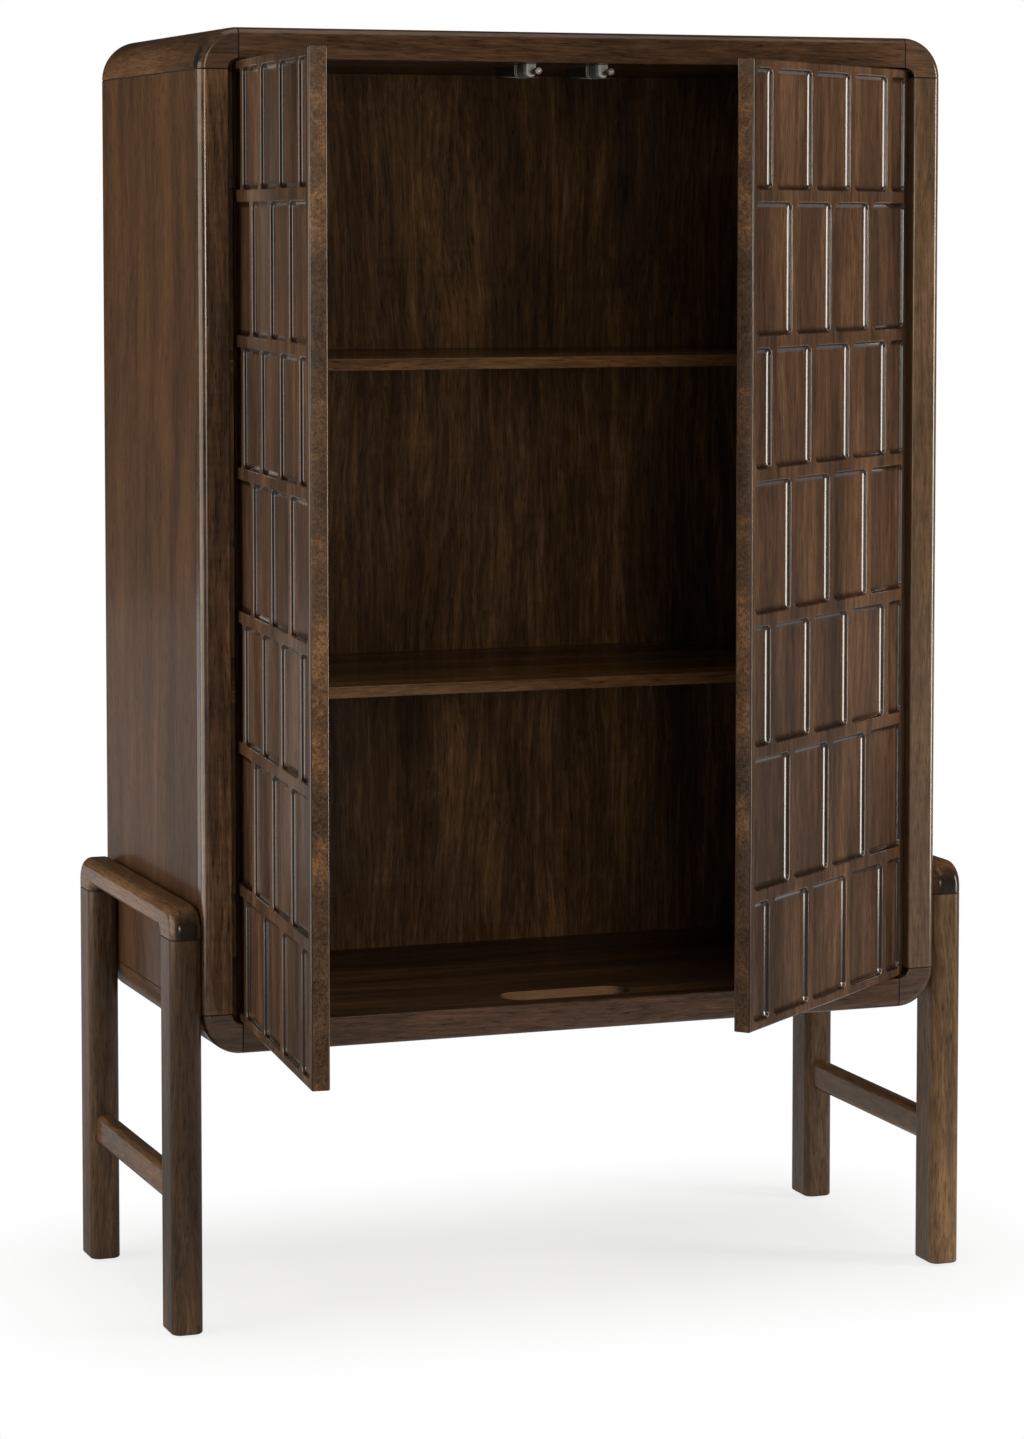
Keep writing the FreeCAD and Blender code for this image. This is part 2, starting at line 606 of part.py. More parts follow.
def hinge_arm(level):
    """Gooseneck arm: knuckle on the pin, elbow round the door's edge, plate on the wall."""
    z0 = level - ARM_HEIGHT / 2
    half = ARM_THICKNESS / 2
    inner = ARM_ELBOW_RADIUS - half
    outer = ARM_ELBOW_RADIUS + half
    exit_angle = math.radians(ARM_EXIT_ANGLE)

    def polar(radius, angle, shift=0.0):
        x = radius * math.cos(angle) + shift * math.sin(angle)
        y = radius * math.sin(angle) - shift * math.cos(angle)
        return Vector(PIVOT_X + x, PIVOT_Y + y, z0)

    mean_angle = (exit_angle + math.pi / 2) / 2
    wall_x = -INNER_HALF_WIDTH
    wall_out = Vector(wall_x, PIVOT_Y + outer, z0)
    wall_in = Vector(wall_x, PIVOT_Y + inner, z0)
    start_out = polar(NECK_START, exit_angle, half)
    start_in = polar(NECK_START, exit_angle, -half)
    corner_angle = exit_angle - half / outer
    tip_out = polar(outer, corner_angle)
    bend_angle = exit_angle + half / inner
    bend_in = polar(inner, bend_angle)
    edges = [
        Part.LineSegment(start_out, tip_out).toShape(),
        Part.Arc(tip_out, polar(outer, mean_angle), polar(outer, math.pi / 2)).toShape(),
        Part.LineSegment(polar(outer, math.pi / 2), wall_out).toShape(),
        Part.LineSegment(wall_out, wall_in).toShape(),
        Part.LineSegment(wall_in, polar(inner, math.pi / 2)).toShape(),
        Part.Arc(polar(inner, math.pi / 2), polar(inner, mean_angle), bend_in).toShape(),
        Part.LineSegment(bend_in, start_in).toShape(),
        Part.LineSegment(start_in, start_out).toShape(),
    ]
    neck = Part.Face(Part.Wire(edges)).extrude(Vector(0, 0, ARM_HEIGHT))
    pivot = Vector(PIVOT_X, PIVOT_Y, z0)
    knuckle = rod(KNUCKLE_RADIUS, ARM_HEIGHT, pivot, Z_AXIS)
    plate_y = PIVOT_Y + inner
    plate = block(
        wall_x,
        wall_x + ARM_PLATE_THICKNESS,
        plate_y,
        plate_y + ARM_PLATE_LENGTH,
        level - ARM_PLATE_HEIGHT / 2,
        level + ARM_PLATE_HEIGHT / 2,
    )
    arm = neck.fuse([knuckle, plate]).removeSplitter()
    bore = rod(PIN_RADIUS + PIN_FIT, ARM_HEIGHT, pivot, Z_AXIS)
    holes = [screw_hole(point, -X_AXIS, HINGE_SCREW_BITE) for point in arm_screw_points()]
    return arm.cut(holes + [bore])


def strike():
    """Steel disc on the back of the closed left door, where the latch touches it."""
    return rod(STRIKE_RADIUS, STRIKE_THICKNESS, Vector(LATCH_X, DOOR_BACK, LATCH_AXIS_Z), Y_AXIS)


def latch_housing():
    """Body under the top of the case: a flat-topped sleeve in front of a rounded rear box."""
    axis_start = Vector(LATCH_X, SLEEVE_Y, LATCH_AXIS_Z)
    sleeve = rod(SLEEVE_RADIUS, SLEEVE_LENGTH, axis_start, Y_AXIS)
    saddle = block(
        LATCH_X - SLEEVE_RADIUS,
        LATCH_X + SLEEVE_RADIUS,
        SLEEVE_Y,
        HOUSING_Y,
        LATCH_AXIS_Z,
        CEILING_LEVEL,
    )
    low = (LATCH_X - HOUSING_WIDTH / 2, LATCH_AXIS_Z - SLEEVE_RADIUS)
    high = (LATCH_X + HOUSING_WIDTH / 2, CEILING_LEVEL)
    radii = [HOUSING_CORNER, HOUSING_CORNER, 0, 0]
    tail = HOUSING_Y + HOUSING_LENGTH
    box = front_slab(low[0], high[0], low[1], high[1], radii, HOUSING_Y, tail)
    rims = []
    for edge in box.Edges:
        bounds = edge.BoundBox
        if bounds.YMin > tail - NEAR and bounds.ZMin < CEILING_LEVEL - NEAR:
            rims.append(edge)
    box = box.makeFillet(HOUSING_TAIL_ROUND, rims)
    bore_length = PLUNGER_TAIL + PLUNGER_TRAVEL + LATCH_CONTACT_GAP
    bore = rod(PLUNGER_RADIUS + PLUNGER_FIT, bore_length, axis_start, Y_AXIS)
    return sleeve.fuse([saddle, box]).removeSplitter().cut(bore)


def latch_plunger():
    """Round plunger with an eye in its face, free to be pressed into the sleeve."""
    tip = Vector(LATCH_X, LATCH_TIP_Y, LATCH_AXIS_Z)
    stem = rod(PLUNGER_RADIUS, PLUNGER_REACH + PLUNGER_TAIL, tip, Y_AXIS)
    eye = rod(PLUNGER_EYE_RADIUS, PLUNGER_EYE_DEPTH, tip, Y_AXIS)
    return stem.cut(eye)


def door_set():
    """Every piece that turns with the left door, in the closed position."""
    return {
        "door": door_panel(),
        "hinge_cups": Part.Compound([hinge_cup(level) for level in HINGE_LEVELS]),
        "hinge_pins": Part.Compound([hinge_pin(level) for level in HINGE_LEVELS]),
        "hinge_cup_screws": Part.Compound(
            [screw(point, -Y_AXIS, HINGE_SCREW_BITE) for point in cup_screw_points()]
        ),
        "strike": strike(),
    }


def swing(shape, pivot_x, angle):
    turned = shape.copy()
    turned.rotate(Vector(pivot_x, PIVOT_Y, 0), Z_AXIS, angle)
    return turned


def build():
    nodes = {}
    nodes.update(face_frame())
    nodes.update(case_walls())
    nodes.update(back())
    for name, height in (("upper", UPPER_SHELF_HEIGHT), ("lower", LOWER_SHELF_HEIGHT)):
        nodes[name + "_shelf"] = shelf(height)
        nodes[name + "_shelf_supports"] = shelf_supports(height)
    for name, shape in leg_frame().items():
        nodes.update(both_sides(name, shape))
    nodes.update(both_sides("foot_glides", glides()))
    nodes.update(both_sides("leg_bolts", leg_bolts()))
    arms = Part.Compound([hinge_arm(level) for level in HINGE_LEVELS])
    arm_screws = [screw(point, -X_AXIS, HINGE_SCREW_BITE) for point in arm_screw_points()]
    nodes.update(both_sides("hinge_arms", arms))
    nodes.update(both_sides("hinge_arm_screws", Part.Compound(arm_screws)))
    nodes.update(both_sides("latch_housing", latch_housing()))
    nodes.update(both_sides("latch_plunger", latch_plunger()))
    for name, shape in door_set().items():
        nodes["left_" + name] = swing(shape, PIVOT_X, -LEFT_DOOR_ANGLE)
        nodes["right_" + name] = swing(mirror_x(shape), -PIVOT_X, RIGHT_DOOR_ANGLE)
    return nodes


os.makedirs("parts", exist_ok=True)
for node, solid in build().items():
    solid.exportStep("parts/" + node + ".step")
    print(f"{node}: {len(solid.Solids)} solid(s), {solid.Volume / 1000:.1f} cm3, valid {solid.isValid()}")
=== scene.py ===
# %% [markdown]
# # A two-door walnut cabinet on inverted-U legs
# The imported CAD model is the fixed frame, so every piece below takes its size and place from it.
# The lesson goes as a workshop would: set up the studio, mix the finishes, ease the joinery,
# carve the doors, and then fit the metalwork.

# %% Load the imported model
import json
import math

import bmesh
import bpy
from mathutils import Matrix, Vector


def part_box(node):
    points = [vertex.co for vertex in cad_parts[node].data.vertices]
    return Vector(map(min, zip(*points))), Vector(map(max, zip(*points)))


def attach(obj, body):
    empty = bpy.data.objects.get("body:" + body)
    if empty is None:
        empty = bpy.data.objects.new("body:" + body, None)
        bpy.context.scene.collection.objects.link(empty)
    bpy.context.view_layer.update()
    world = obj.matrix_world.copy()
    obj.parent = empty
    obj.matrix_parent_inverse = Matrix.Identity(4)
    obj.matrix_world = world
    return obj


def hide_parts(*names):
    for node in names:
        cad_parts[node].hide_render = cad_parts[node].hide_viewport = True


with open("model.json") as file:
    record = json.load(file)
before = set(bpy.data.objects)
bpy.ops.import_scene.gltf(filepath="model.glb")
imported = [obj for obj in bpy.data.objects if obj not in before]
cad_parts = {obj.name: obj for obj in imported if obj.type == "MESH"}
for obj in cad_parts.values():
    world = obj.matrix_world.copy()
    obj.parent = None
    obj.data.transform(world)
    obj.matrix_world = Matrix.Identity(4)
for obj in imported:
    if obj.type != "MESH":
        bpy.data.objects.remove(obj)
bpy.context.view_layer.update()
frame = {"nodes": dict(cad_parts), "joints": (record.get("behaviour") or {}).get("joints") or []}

NODES = frame["nodes"]
JOINTS = {joint["name"]: joint for joint in frame["joints"]}
SIDES = ("left", "right")
X_AXIS, Y_AXIS, Z_AXIS = range(3)
scene = bpy.context.scene
scene.view_settings.view_transform = "Standard"

# %% [markdown]
# ## Camera
# The seams of the case were matched to the photograph to find where the camera stood.
# The lens is long and almost level. Tilting it down further would make the legs converge,
# so a little vertical shift frames the feet instead, as a studio camera does.

# %% Camera
PHOTO_HEIGHT = 1439
FOCAL_PIXELS = 4141.0
AXIS_ROW = 520.0
SENSOR = 36.0
CAMERA_PLACE = (-1.7673, -4.8164, 1.2992)
CAMERA_TURN, CAMERA_DIP = 20.07, 4.10

lens = bpy.data.cameras.new("studio_camera")
lens.sensor_width = SENSOR
lens.lens = FOCAL_PIXELS * SENSOR / PHOTO_HEIGHT
lens.shift_y = (AXIS_ROW - PHOTO_HEIGHT / 2) / PHOTO_HEIGHT
camera = bpy.data.objects.new("studio_camera", lens)
camera.location = CAMERA_PLACE
camera.rotation_euler = (math.radians(90 - CAMERA_DIP), 0, math.radians(-CAMERA_TURN))
scene.collection.objects.link(camera)
scene.camera = camera
print(f"lens {lens.lens:.1f} mm, shift {lens.shift_y:.3f}")

# %% [markdown]
# ## Node helpers
# Shader and geometry trees could be wired by hand in the editor, but a script can be read and
# repeated. Both kinds are built with the same few calls: add a node, set its options, and then
# either link or set each input.

# %% Node helpers
def put(tree, kind, feeds=None, **options):
    """Add a node, set its options, then link sockets or set plain values on its inputs."""
    made = tree.nodes.new(kind)
    for option, value in options.items():
        setattr(made, option, value)
    for key, value in (feeds or {}).items():
        if isinstance(value, bpy.types.NodeSocket):
            tree.links.new(value, made.inputs[key])
        else:
            made.inputs[key].default_value = value
    return made


def sum_up(tree, operation, first, second):
    """One step of arithmetic on numbers."""
    return put(tree, "ShaderNodeMath", {0: first, 1: second}, operation=operation).outputs[0]


def vector_sum(tree, operation, first, second=(0, 0, 0)):
    """One step of arithmetic on vectors."""
    return put(tree, "ShaderNodeVectorMath", {0: first, 1: second}, operation=operation).outputs[0]


def stretch(tree, vector, factors):
    return vector_sum(tree, "MULTIPLY", vector, factors)


def remap(tree, value, low, high, to_low=0.0, to_high=1.0):
    feeds = {"Value": value, 1: low, 2: high, 3: to_low, 4: to_high}
    return put(tree, "ShaderNodeMapRange", feeds).outputs[0]


print("node helpers ready")

# %% [markdown]
# ## Colour helpers
# A stain is easiest to judge against a colour card, whose values are those of a display. Blender
# mixes light in linear values, so each colour is converted once, where it is named. A material
# starts bare, because its finish is built node by node.

# %% Colour helpers
def mottle(tree, vector, detail=2.0, roughness=0.5):
    """Soft noise with one patch to each unit of the vector."""
    feeds = {"Vector": vector, "Scale": 1.0, "Detail": detail, "Roughness": roughness}
    return put(tree, "ShaderNodeTexNoise", feeds)


def mix_colour(tree, factor, first, second, blend="MIX"):
    feeds = {0: factor, 6: first, 7: second}
    return put(tree, "ShaderNodeMix", feeds, data_type="RGBA", blend_type=blend).outputs[2]


def shade(red, green, blue):
    """Linear colour from the display values of a colour card."""
    def linear(value):
        value /= 255.0
        return value / 12.92 if value <= 0.04045 else ((value + 0.055) / 1.055) ** 2.4
    return (linear(red), linear(green), linear(blue), 1.0)


def bare_material(name):
    """A material and its node tree, which is still empty."""
    made = bpy.data.materials.new(name)
    made.use_nodes = True
    made.node_tree.nodes.clear()
    return made, made.node_tree


print("colour helpers ready, mid grey is", round(shade(128, 128, 128)[0], 3))

# %% [markdown]
# ## White sweep
# The cabinet was photographed against white, yet its lacquer mirrors mostly dark surroundings. A
# world that is white for every ray would turn the doors grey, so this one tells rays apart: the
# camera sees plain white, the wood gets a dim warm fill, and polished faces mirror a nearly dark
# room. The world is so even that aiming rays at it gains nothing, so it is not sampled as a lamp.

# %% White sweep
AMBIENT = 0.36
SWEEP_IN_GLOSS, ROOM_IN_GLOSS = 0.05, 0.03
SWEEP_STARTS, SWEEP_FULL = 0.35, 0.95
WARM_WHITE = (1.0, 0.91, 0.79)
WHITE = (1, 1, 1, 1)


def choose(tree, factor, first, second):
    """The first number where the factor is 0, and the second where it is 1."""
    feeds = {0: factor, 2: first, 3: second}
    return put(tree, "ShaderNodeMix", feeds, data_type="FLOAT").outputs[0]


world = bpy.data.worlds.new("white_sweep")
scene.world = world
world.use_nodes = True
world.cycles.sampling_method = "NONE"
sky = world.node_tree
sky.nodes.clear()
ray = put(sky, "ShaderNodeLightPath").outputs
direction = put(sky, "ShaderNodeTexCoord").outputs["Generated"]
aim = put(sky, "ShaderNodeSeparateXYZ", {0: direction}).outputs
mirrored = remap(sky, aim["Y"], SWEEP_STARTS, SWEEP_FULL, ROOM_IN_GLOSS, SWEEP_IN_GLOSS)
seen = sum_up(sky, "MAXIMUM", ray["Is Camera Ray"], ray["Is Transmission Ray"])
strength = choose(sky, seen, choose(sky, ray["Is Glossy Ray"], AMBIENT, mirrored), 1.0)
tint = mix_colour(sky, seen, (*WARM_WHITE, 1), WHITE)
backdrop = put(sky, "ShaderNodeBackground", {"Color": tint, "Strength": strength})
put(sky, "ShaderNodeOutputWorld", {"Surface": backdrop.outputs[0]})
print("sweep lit at", AMBIENT)

# %% [markdown]
# ## Floor
# The cabinet stands on white paper. Paper that is lit until it looks white would throw that light
# back on the wood, so the camera sees a plain glow instead, with a share of real paper under the
# cabinet that takes its soft shadow. Polished faces mirror the floor less brightly, and what they
# mirror is painted light: grey in front, a painted brighter band at the foot of the sweep, and a
# painted pool of nearly white light beside the right-hand legs. All of this depends on the place on
# the sheet, so it is read from Object coordinates.

# %% Floor sheet and what gloss sees in it
FLOOR_REACH = 9.0
QUARTERS = ((-1, -1), (1, -1), (1, 1), (-1, 1))
FLOOR_IN_GLOSS, POOL_IN_GLOSS, SWEEP_FOOT_IN_GLOSS = 0.34, 0.90, 0.60
SWEEP_FOOT_FROM, SWEEP_FOOT_TO = 0.5, 2.0
POOL_FROM, POOL_TO = -0.1, 0.7
POOL_NEAR, POOL_FAR = 0.4, 2.0
UNDER_CABINET = (0.36, 0.10, 0.0)

floor_mesh = bpy.data.meshes.new("studio_floor")
corners = [(x * FLOOR_REACH, y * FLOOR_REACH, 0) for x, y in QUARTERS]
floor_mesh.from_pydata(corners, [], [(0, 1, 2, 3)])
floor = bpy.data.objects.new("studio_floor", floor_mesh)
scene.collection.objects.link(floor)
paper, tree = bare_material("white_paper")
ray = put(tree, "ShaderNodeLightPath").outputs
place = put(tree, "ShaderNodeTexCoord").outputs["Object"]
spot = put(tree, "ShaderNodeSeparateXYZ", {0: place}).outputs
outside = vector_sum(tree, "SUBTRACT", vector_sum(tree, "ABSOLUTE", place), UNDER_CABINET)
outside = vector_sum(tree, "MAXIMUM", outside)
away = put(tree, "ShaderNodeVectorMath", {0: outside}, operation="LENGTH").outputs["Value"]
# Painted light for polished faces: a brighter band at the sweep's foot, and a pool of light by the
# right-hand legs.
foot = remap(tree, spot["Y"], SWEEP_FOOT_FROM, SWEEP_FOOT_TO, FLOOR_IN_GLOSS, SWEEP_FOOT_IN_GLOSS)
pool = remap(tree, spot["X"], POOL_FROM, POOL_TO, FLOOR_IN_GLOSS, POOL_IN_GLOSS)
pool = remap(tree, away, POOL_NEAR, POOL_FAR, pool, FLOOR_IN_GLOSS)
mirrored = sum_up(tree, "MAXIMUM", foot, pool)
print("floor", 2 * FLOOR_REACH, "m square")

# %% [markdown]
# ## Floor paper
# The glow and the real paper are two shaders, mixed by the kind of ray. The glow is only for show,
# so it is never sampled as a lamp, and the wood gets no more than the bounce of matt paper.

# %% Floor paper
SHADOW_SHARE, SHADOW_FADE = 0.30, 0.42
PAPER = (0.80, 0.86, 0.94, 1)

feeds = {"Value": away, 1: 0.0, 2: SHADOW_FADE, 3: SHADOW_SHARE, 4: 0.0}
share = put(tree, "ShaderNodeMapRange", feeds, interpolation_type="SMOOTHSTEP").outputs[0]
glow = remap(tree, ray["Is Glossy Ray"], 0.0, 1.0, 1.0, mirrored)
white = put(tree, "ShaderNodeEmission", {"Color": WHITE, "Strength": glow})
matt = put(tree, "ShaderNodeBsdfDiffuse", {"Color": PAPER})
shown = put(tree, "ShaderNodeMixShader", {0: share, 1: white.outputs[0], 2: matt.outputs[0]})
seen = sum_up(tree, "MAXIMUM", ray["Is Camera Ray"], ray["Is Glossy Ray"])
seen = sum_up(tree, "MAXIMUM", seen, ray["Is Transmission Ray"])
chosen = put(tree, "ShaderNodeMixShader", {0: seen, 1: matt.outputs[0], 2: shown.outputs[0]})
put(tree, "ShaderNodeOutputMaterial", {"Surface": chosen.outputs[0]})
paper.cycles.emission_sampling = "NONE"
floor_mesh.materials.append(paper)
print("white_paper has", len(tree.nodes), "nodes")

# %% [markdown]
# ## Soft lamps
# Lacquer shows the shape of every lamp, so each is an area lamp of a studio box's size, not a
# point. The left box rakes the side panel and draws the bright line down the bullnose. The front
# box and the small spot light the open case. The narrow right box draws the lines in the carving
# of the right door, and the overhead box lights the top edges.

# %% Soft lamps
LAMP_AIM = Vector((0.0, -0.1, 0.9))
LAMPS = {
    "left_softbox": ((-2.9, -0.15, 1.0), 3.2, 2.2, 76.0),
    "front_softbox": ((-0.9, -5.7, 1.6), 2.2, 2.6, 70.0),
    "front_spot": ((-0.9, -4.7, 1.28), 0.8, 0.36, 20.0),
    "right_softbox": ((2.9, -1.6, 1.0), 0.70, 2.0, 74.0),
    "overhead_softbox": ((0.5, -1.6, 4.3), 2.6, 3.6, 54.0),
}
for name, (place, width, height, power) in LAMPS.items():
    bulb = bpy.data.lights.new(name, "AREA")
    bulb.shape = "RECTANGLE"
    bulb.size, bulb.size_y = width, height
    bulb.energy = power
    bulb.color = WARM_WHITE
    lamp = bpy.data.objects.new(name, bulb)
    lamp.location = place
    lamp.rotation_euler = (LAMP_AIM - Vector(place)).to_track_quat("-Z", "Y").to_euler()
    scene.collection.objects.link(lamp)
print("lamps", ", ".join(LAMPS))

# %% [markdown]
# ## Walnut
# Every wooden piece is stained walnut, seen from a different side. The figure could be painted,
# but a solid texture goes right through the board, so that end grain, edges and carving all agree.
# One shader group makes it, and each material places the group with its own stain. The grain
# always runs along the group's own Z, and each material turns its board to suit.

# %% Walnut group
def group_sockets(tree, inputs, outputs):
    """Name a group's inputs and outputs, and give back the inputs as they are seen inside it."""
    for label, kind, value in inputs:
        made = tree.interface.new_socket(label, in_out="INPUT", socket_type=kind)
        if value is not None:
            made.default_value = value
    for label, kind in outputs:
        tree.interface.new_socket(label, in_out="OUTPUT", socket_type=kind)
    return put(tree, "NodeGroupInput").outputs


WALNUT_INPUTS = [
    ("Vector", "NodeSocketVector", None),
    ("Heart", "NodeSocketColor", shade(50, 34, 21)),
    ("Body", "NodeSocketColor", shade(72, 52, 36)),
    ("Streak", "NodeSocketColor", shade(100, 73, 50)),
    ("Figure", "NodeSocketFloat", 0.3),
    ("Curl", "NodeSocketFloat", 0.12),
    ("Pores", "NodeSocketFloat", 0.6),
    ("Dullness", "NodeSocketFloat", 0.46),
    ("Contrast", "NodeSocketFloat", 1.0),
    ("Streaking", "NodeSocketFloat", 0.0),
]
SURFACE_OUTPUTS = [
    ("Color", "NodeSocketColor"),
    ("Roughness", "NodeSocketFloat"),
    ("Height", "NodeSocketFloat"),
]
walnut_grain = bpy.data.node_groups.new("walnut_grain", "ShaderNodeTree")
given = group_sockets(walnut_grain, WALNUT_INPUTS, SURFACE_OUTPUTS)
print("walnut_grain takes", ", ".join(label for label, _, _ in WALNUT_INPUTS))

# %% [markdown]
# ## Bands and lines
# A walnut board shows broad bands and narrow lines that follow the trunk. Both are noise that is
# stretched along the grain. A slow drift bends them first, because straight noise looks combed.
# Their sum is the tone, which runs from dark heartwood to pale streak.

# %% Bands and lines
GRAIN_MARKS = {
    "drift": ((3.2, 3.2, 1.1), 3.0, 0.55),
    "bands": ((15.0, 15.0, 2.2), 3.0, 0.5),
    "lines": ((120.0, 120.0, 6.0), 4.0, 0.6),
    "ripples": ((14.0, 14.0, 130.0), 3.0, 0.55),
    "fibres": ((640.0, 640.0, 14.0), 2.0, 0.6),
    "flecks": ((260.0, 260.0, 34.0), 2.0, 0.6),
    "pores": ((820.0, 820.0, 48.0), 1.0, 0.5),
}
NOISE_MIDDLE = 0.5
DRIFT_REACH = (0.22, 0.22, 0.0)
BAND_SHARE, LINE_SHARE = 0.68, 0.32


def grain_mark(name, vector):
    """One noise of the grain: how often it changes in a metre each way, its detail and roughness."""
    factors, detail, roughness = GRAIN_MARKS[name]
    return mottle(walnut_grain, stretch(walnut_grain, vector, factors), detail, roughness).outputs


def swing(tree, value, amount):
    """A noise measured from its middle, times an amount."""
    return sum_up(tree, "MULTIPLY", sum_up(tree, "SUBTRACT", value, NOISE_MIDDLE), amount)


tree = walnut_grain
drift = grain_mark("drift", given["Vector"])["Color"]
drift = vector_sum(tree, "SUBTRACT", drift, [NOISE_MIDDLE] * 3)
reach = put(tree, "ShaderNodeCombineXYZ", {0: given["Figure"], 1: given["Figure"]}).outputs[0]
drift = stretch(tree, stretch(tree, drift, reach), DRIFT_REACH)
grain = vector_sum(tree, "ADD", given["Vector"], drift)
bands, lines = (grain_mark(name, grain)[0] for name in ("bands", "lines"))
tone = sum_up(tree, "MULTIPLY", bands, BAND_SHARE)
tone = sum_up(tree, "ADD", tone, sum_up(tree, "MULTIPLY", lines, LINE_SHARE))
tone = sum_up(tree, "ADD", tone, swing(tree, lines, given["Streaking"]))
print("tone from", len(tree.nodes), "nodes")

# %% [markdown]
# ## Rings and curl
# Growth rings make the arched figure of a wide board, and curl is a ripple across the grain where
# the fibres wave. Rings are a wave texture round a pith that lies outside the board, so a flat cut
# meets them at a slant. Each board takes as much of both as its group inputs ask for.

# %% Rings and curl
RING_PITH = (0.31, 0.46, 0.0)
RING_STRETCH = (1.0, 1.0, 0.1)
RING_WAVES = {
    "Scale": 11.0, "Distortion": 5.0, "Detail": 3.0, "Detail Scale": 1.2, "Detail Roughness": 0.6,
}
RING_SHARE, CURL_SHARE = 0.10, 0.35

feeds = {"Vector": stretch(tree, vector_sum(tree, "ADD", grain, RING_PITH), RING_STRETCH)}
feeds.update(RING_WAVES)
rings = put(tree, "ShaderNodeTexWave", feeds, wave_type="RINGS", rings_direction="Z").outputs[1]
rings = swing(tree, rings, given["Figure"])
tone = sum_up(tree, "ADD", tone, sum_up(tree, "MULTIPLY", rings, RING_SHARE))
ripples = swing(tree, grain_mark("ripples", given["Vector"])[0], given["Curl"])
tone = sum_up(tree, "ADD", tone, sum_up(tree, "MULTIPLY", ripples, CURL_SHARE))
print("rings", RING_WAVES["Scale"], "to the metre")

# %% [markdown]
# ## Fibres and pores
# Close up, walnut is all fine fibres, short flecks and open pores. They are far too many to model,
# so three finer noises lighten and darken the stain. The pores also dull the surface and sink
# below it, which the materials turn into a slight relief.

# %% Fibres and pores
NOISE_LOW, NOISE_HIGH = 0.3, 0.7
PORE_FROM, PORE_TO = 0.6, 0.72
FIBRE_LIGHT, FLECK_LIGHT = (0.88, 1.11), (0.84, 1.15)
PORE_LIGHT, DARKEST = 0.55, 0.15
FIBRE_DULL, PORE_DULL = (-0.05, 0.06), 0.2
FIBRE_HEIGHT = 0.4

fibres, flecks, pores = (grain_mark(name, grain)[0] for name in ("fibres", "flecks", "pores"))
pores = sum_up(tree, "MULTIPLY", remap(tree, pores, PORE_FROM, PORE_TO), given["Pores"])
fibre_light = remap(tree, fibres, NOISE_LOW, NOISE_HIGH, *FIBRE_LIGHT)
fleck_light = remap(tree, flecks, NOISE_LOW, NOISE_HIGH, *FLECK_LIGHT)
light = sum_up(tree, "MULTIPLY", fibre_light, fleck_light)
light = sum_up(tree, "MULTIPLY", light, remap(tree, pores, 0.0, 1.0, 1.0, PORE_LIGHT))
light = sum_up(tree, "MULTIPLY", sum_up(tree, "SUBTRACT", light, 1.0), given["Contrast"])
light = sum_up(tree, "MAXIMUM", sum_up(tree, "ADD", light, 1.0), DARKEST)
light = put(tree, "ShaderNodeCombineColor", {0: light, 1: light, 2: light}).outputs[0]
dull = remap(tree, fibres, NOISE_LOW, NOISE_HIGH, *FIBRE_DULL)
dull = sum_up(tree, "ADD", given["Dullness"], dull)
dull = sum_up(tree, "ADD", dull, sum_up(tree, "MULTIPLY", pores, PORE_DULL))
height = sum_up(tree, "SUBTRACT", sum_up(tree, "MULTIPLY", fibres, FIBRE_HEIGHT), pores)
print("grain marks:", ", ".join(GRAIN_MARKS))

# %% [markdown]
# ## Stain
# The stain takes differently in dark and pale wood. So the tone picks one of three colours, and the
# fine grain then lightens or darkens it.

# %% Stain
HEART_TONE, BODY_TONE, STREAK_TONE = 0.33, 0.5, 0.69

colour = mix_colour(tree, remap(tree, tone, HEART_TONE, BODY_TONE), given["Heart"], given["Body"])
colour = mix_colour(tree, remap(tree, tone, BODY_TONE, STREAK_TONE), colour, given["Streak"])
colour = mix_colour(tree, 1.0, colour, light, "MULTIPLY")
put(tree, "NodeGroupOutput", {"Color": colour, "Roughness": dull, "Height": height})
print("walnut_grain has", len(tree.nodes), "nodes")

# %% [markdown]
# ## End grain, glaze with painted shade, and rubbed faces
# Three things change a finish across one board. End grain soaks up more stain, so it is darker. A
# dark glaze stays behind in the carving, and the same darkening paints the shade that falls in the
# pockets. The flat faces of the doors are rubbed down and keep little gloss, so that only the carved
# edges catch the lamps. Each could be a separate material, but the way a surface faces, or its depth
# in the carving, already tells them apart, and so the change stays gradual.

# %% End grain, glaze with painted shade, and rubbed faces
GRAIN_AXES = {"X": (1, 0, 0), "Y": (0, 1, 0), "Z": (0, 0, 1)}
END_GRAIN = shade(104, 116, 134)
END_FROM, END_TO = 0.55, 0.95
# A dark glaze in the carving, which also paints the shade that falls in the pockets.
GLAZE_AND_SHADE = shade(142, 122, 106)
RUBBED_GLOSS = 0.15
RUBBED_FROM, RUBBED_TO = 0.955, 0.992


def along_axis(tree, normal, axis):
    """How nearly a surface faces along an axis, from 0 to 1."""
    facing = put(tree, "ShaderNodeVectorMath", {0: normal, 1: axis}, operation="DOT_PRODUCT")
    return put(tree, "ShaderNodeMath", {0: facing.outputs["Value"]}, operation="ABSOLUTE").outputs[0]


def soaked_ends(tree, colour, normal, along):
    facing = along_axis(tree, normal, GRAIN_AXES[along])
    soaked = mix_colour(tree, 1.0, colour, END_GRAIN, "MULTIPLY")
    return mix_colour(tree, remap(tree, facing, END_FROM, END_TO), colour, soaked)


# Darkens by the glaze attribute: real glaze, and painted shade in the pockets.
def glazed_and_shaded(tree, colour):
    share = put(tree, "ShaderNodeAttribute", attribute_name="glaze").outputs["Fac"]
    return mix_colour(tree, share, colour, mix_colour(tree, 1.0, colour, GLAZE_AND_SHADE, "MULTIPLY"))


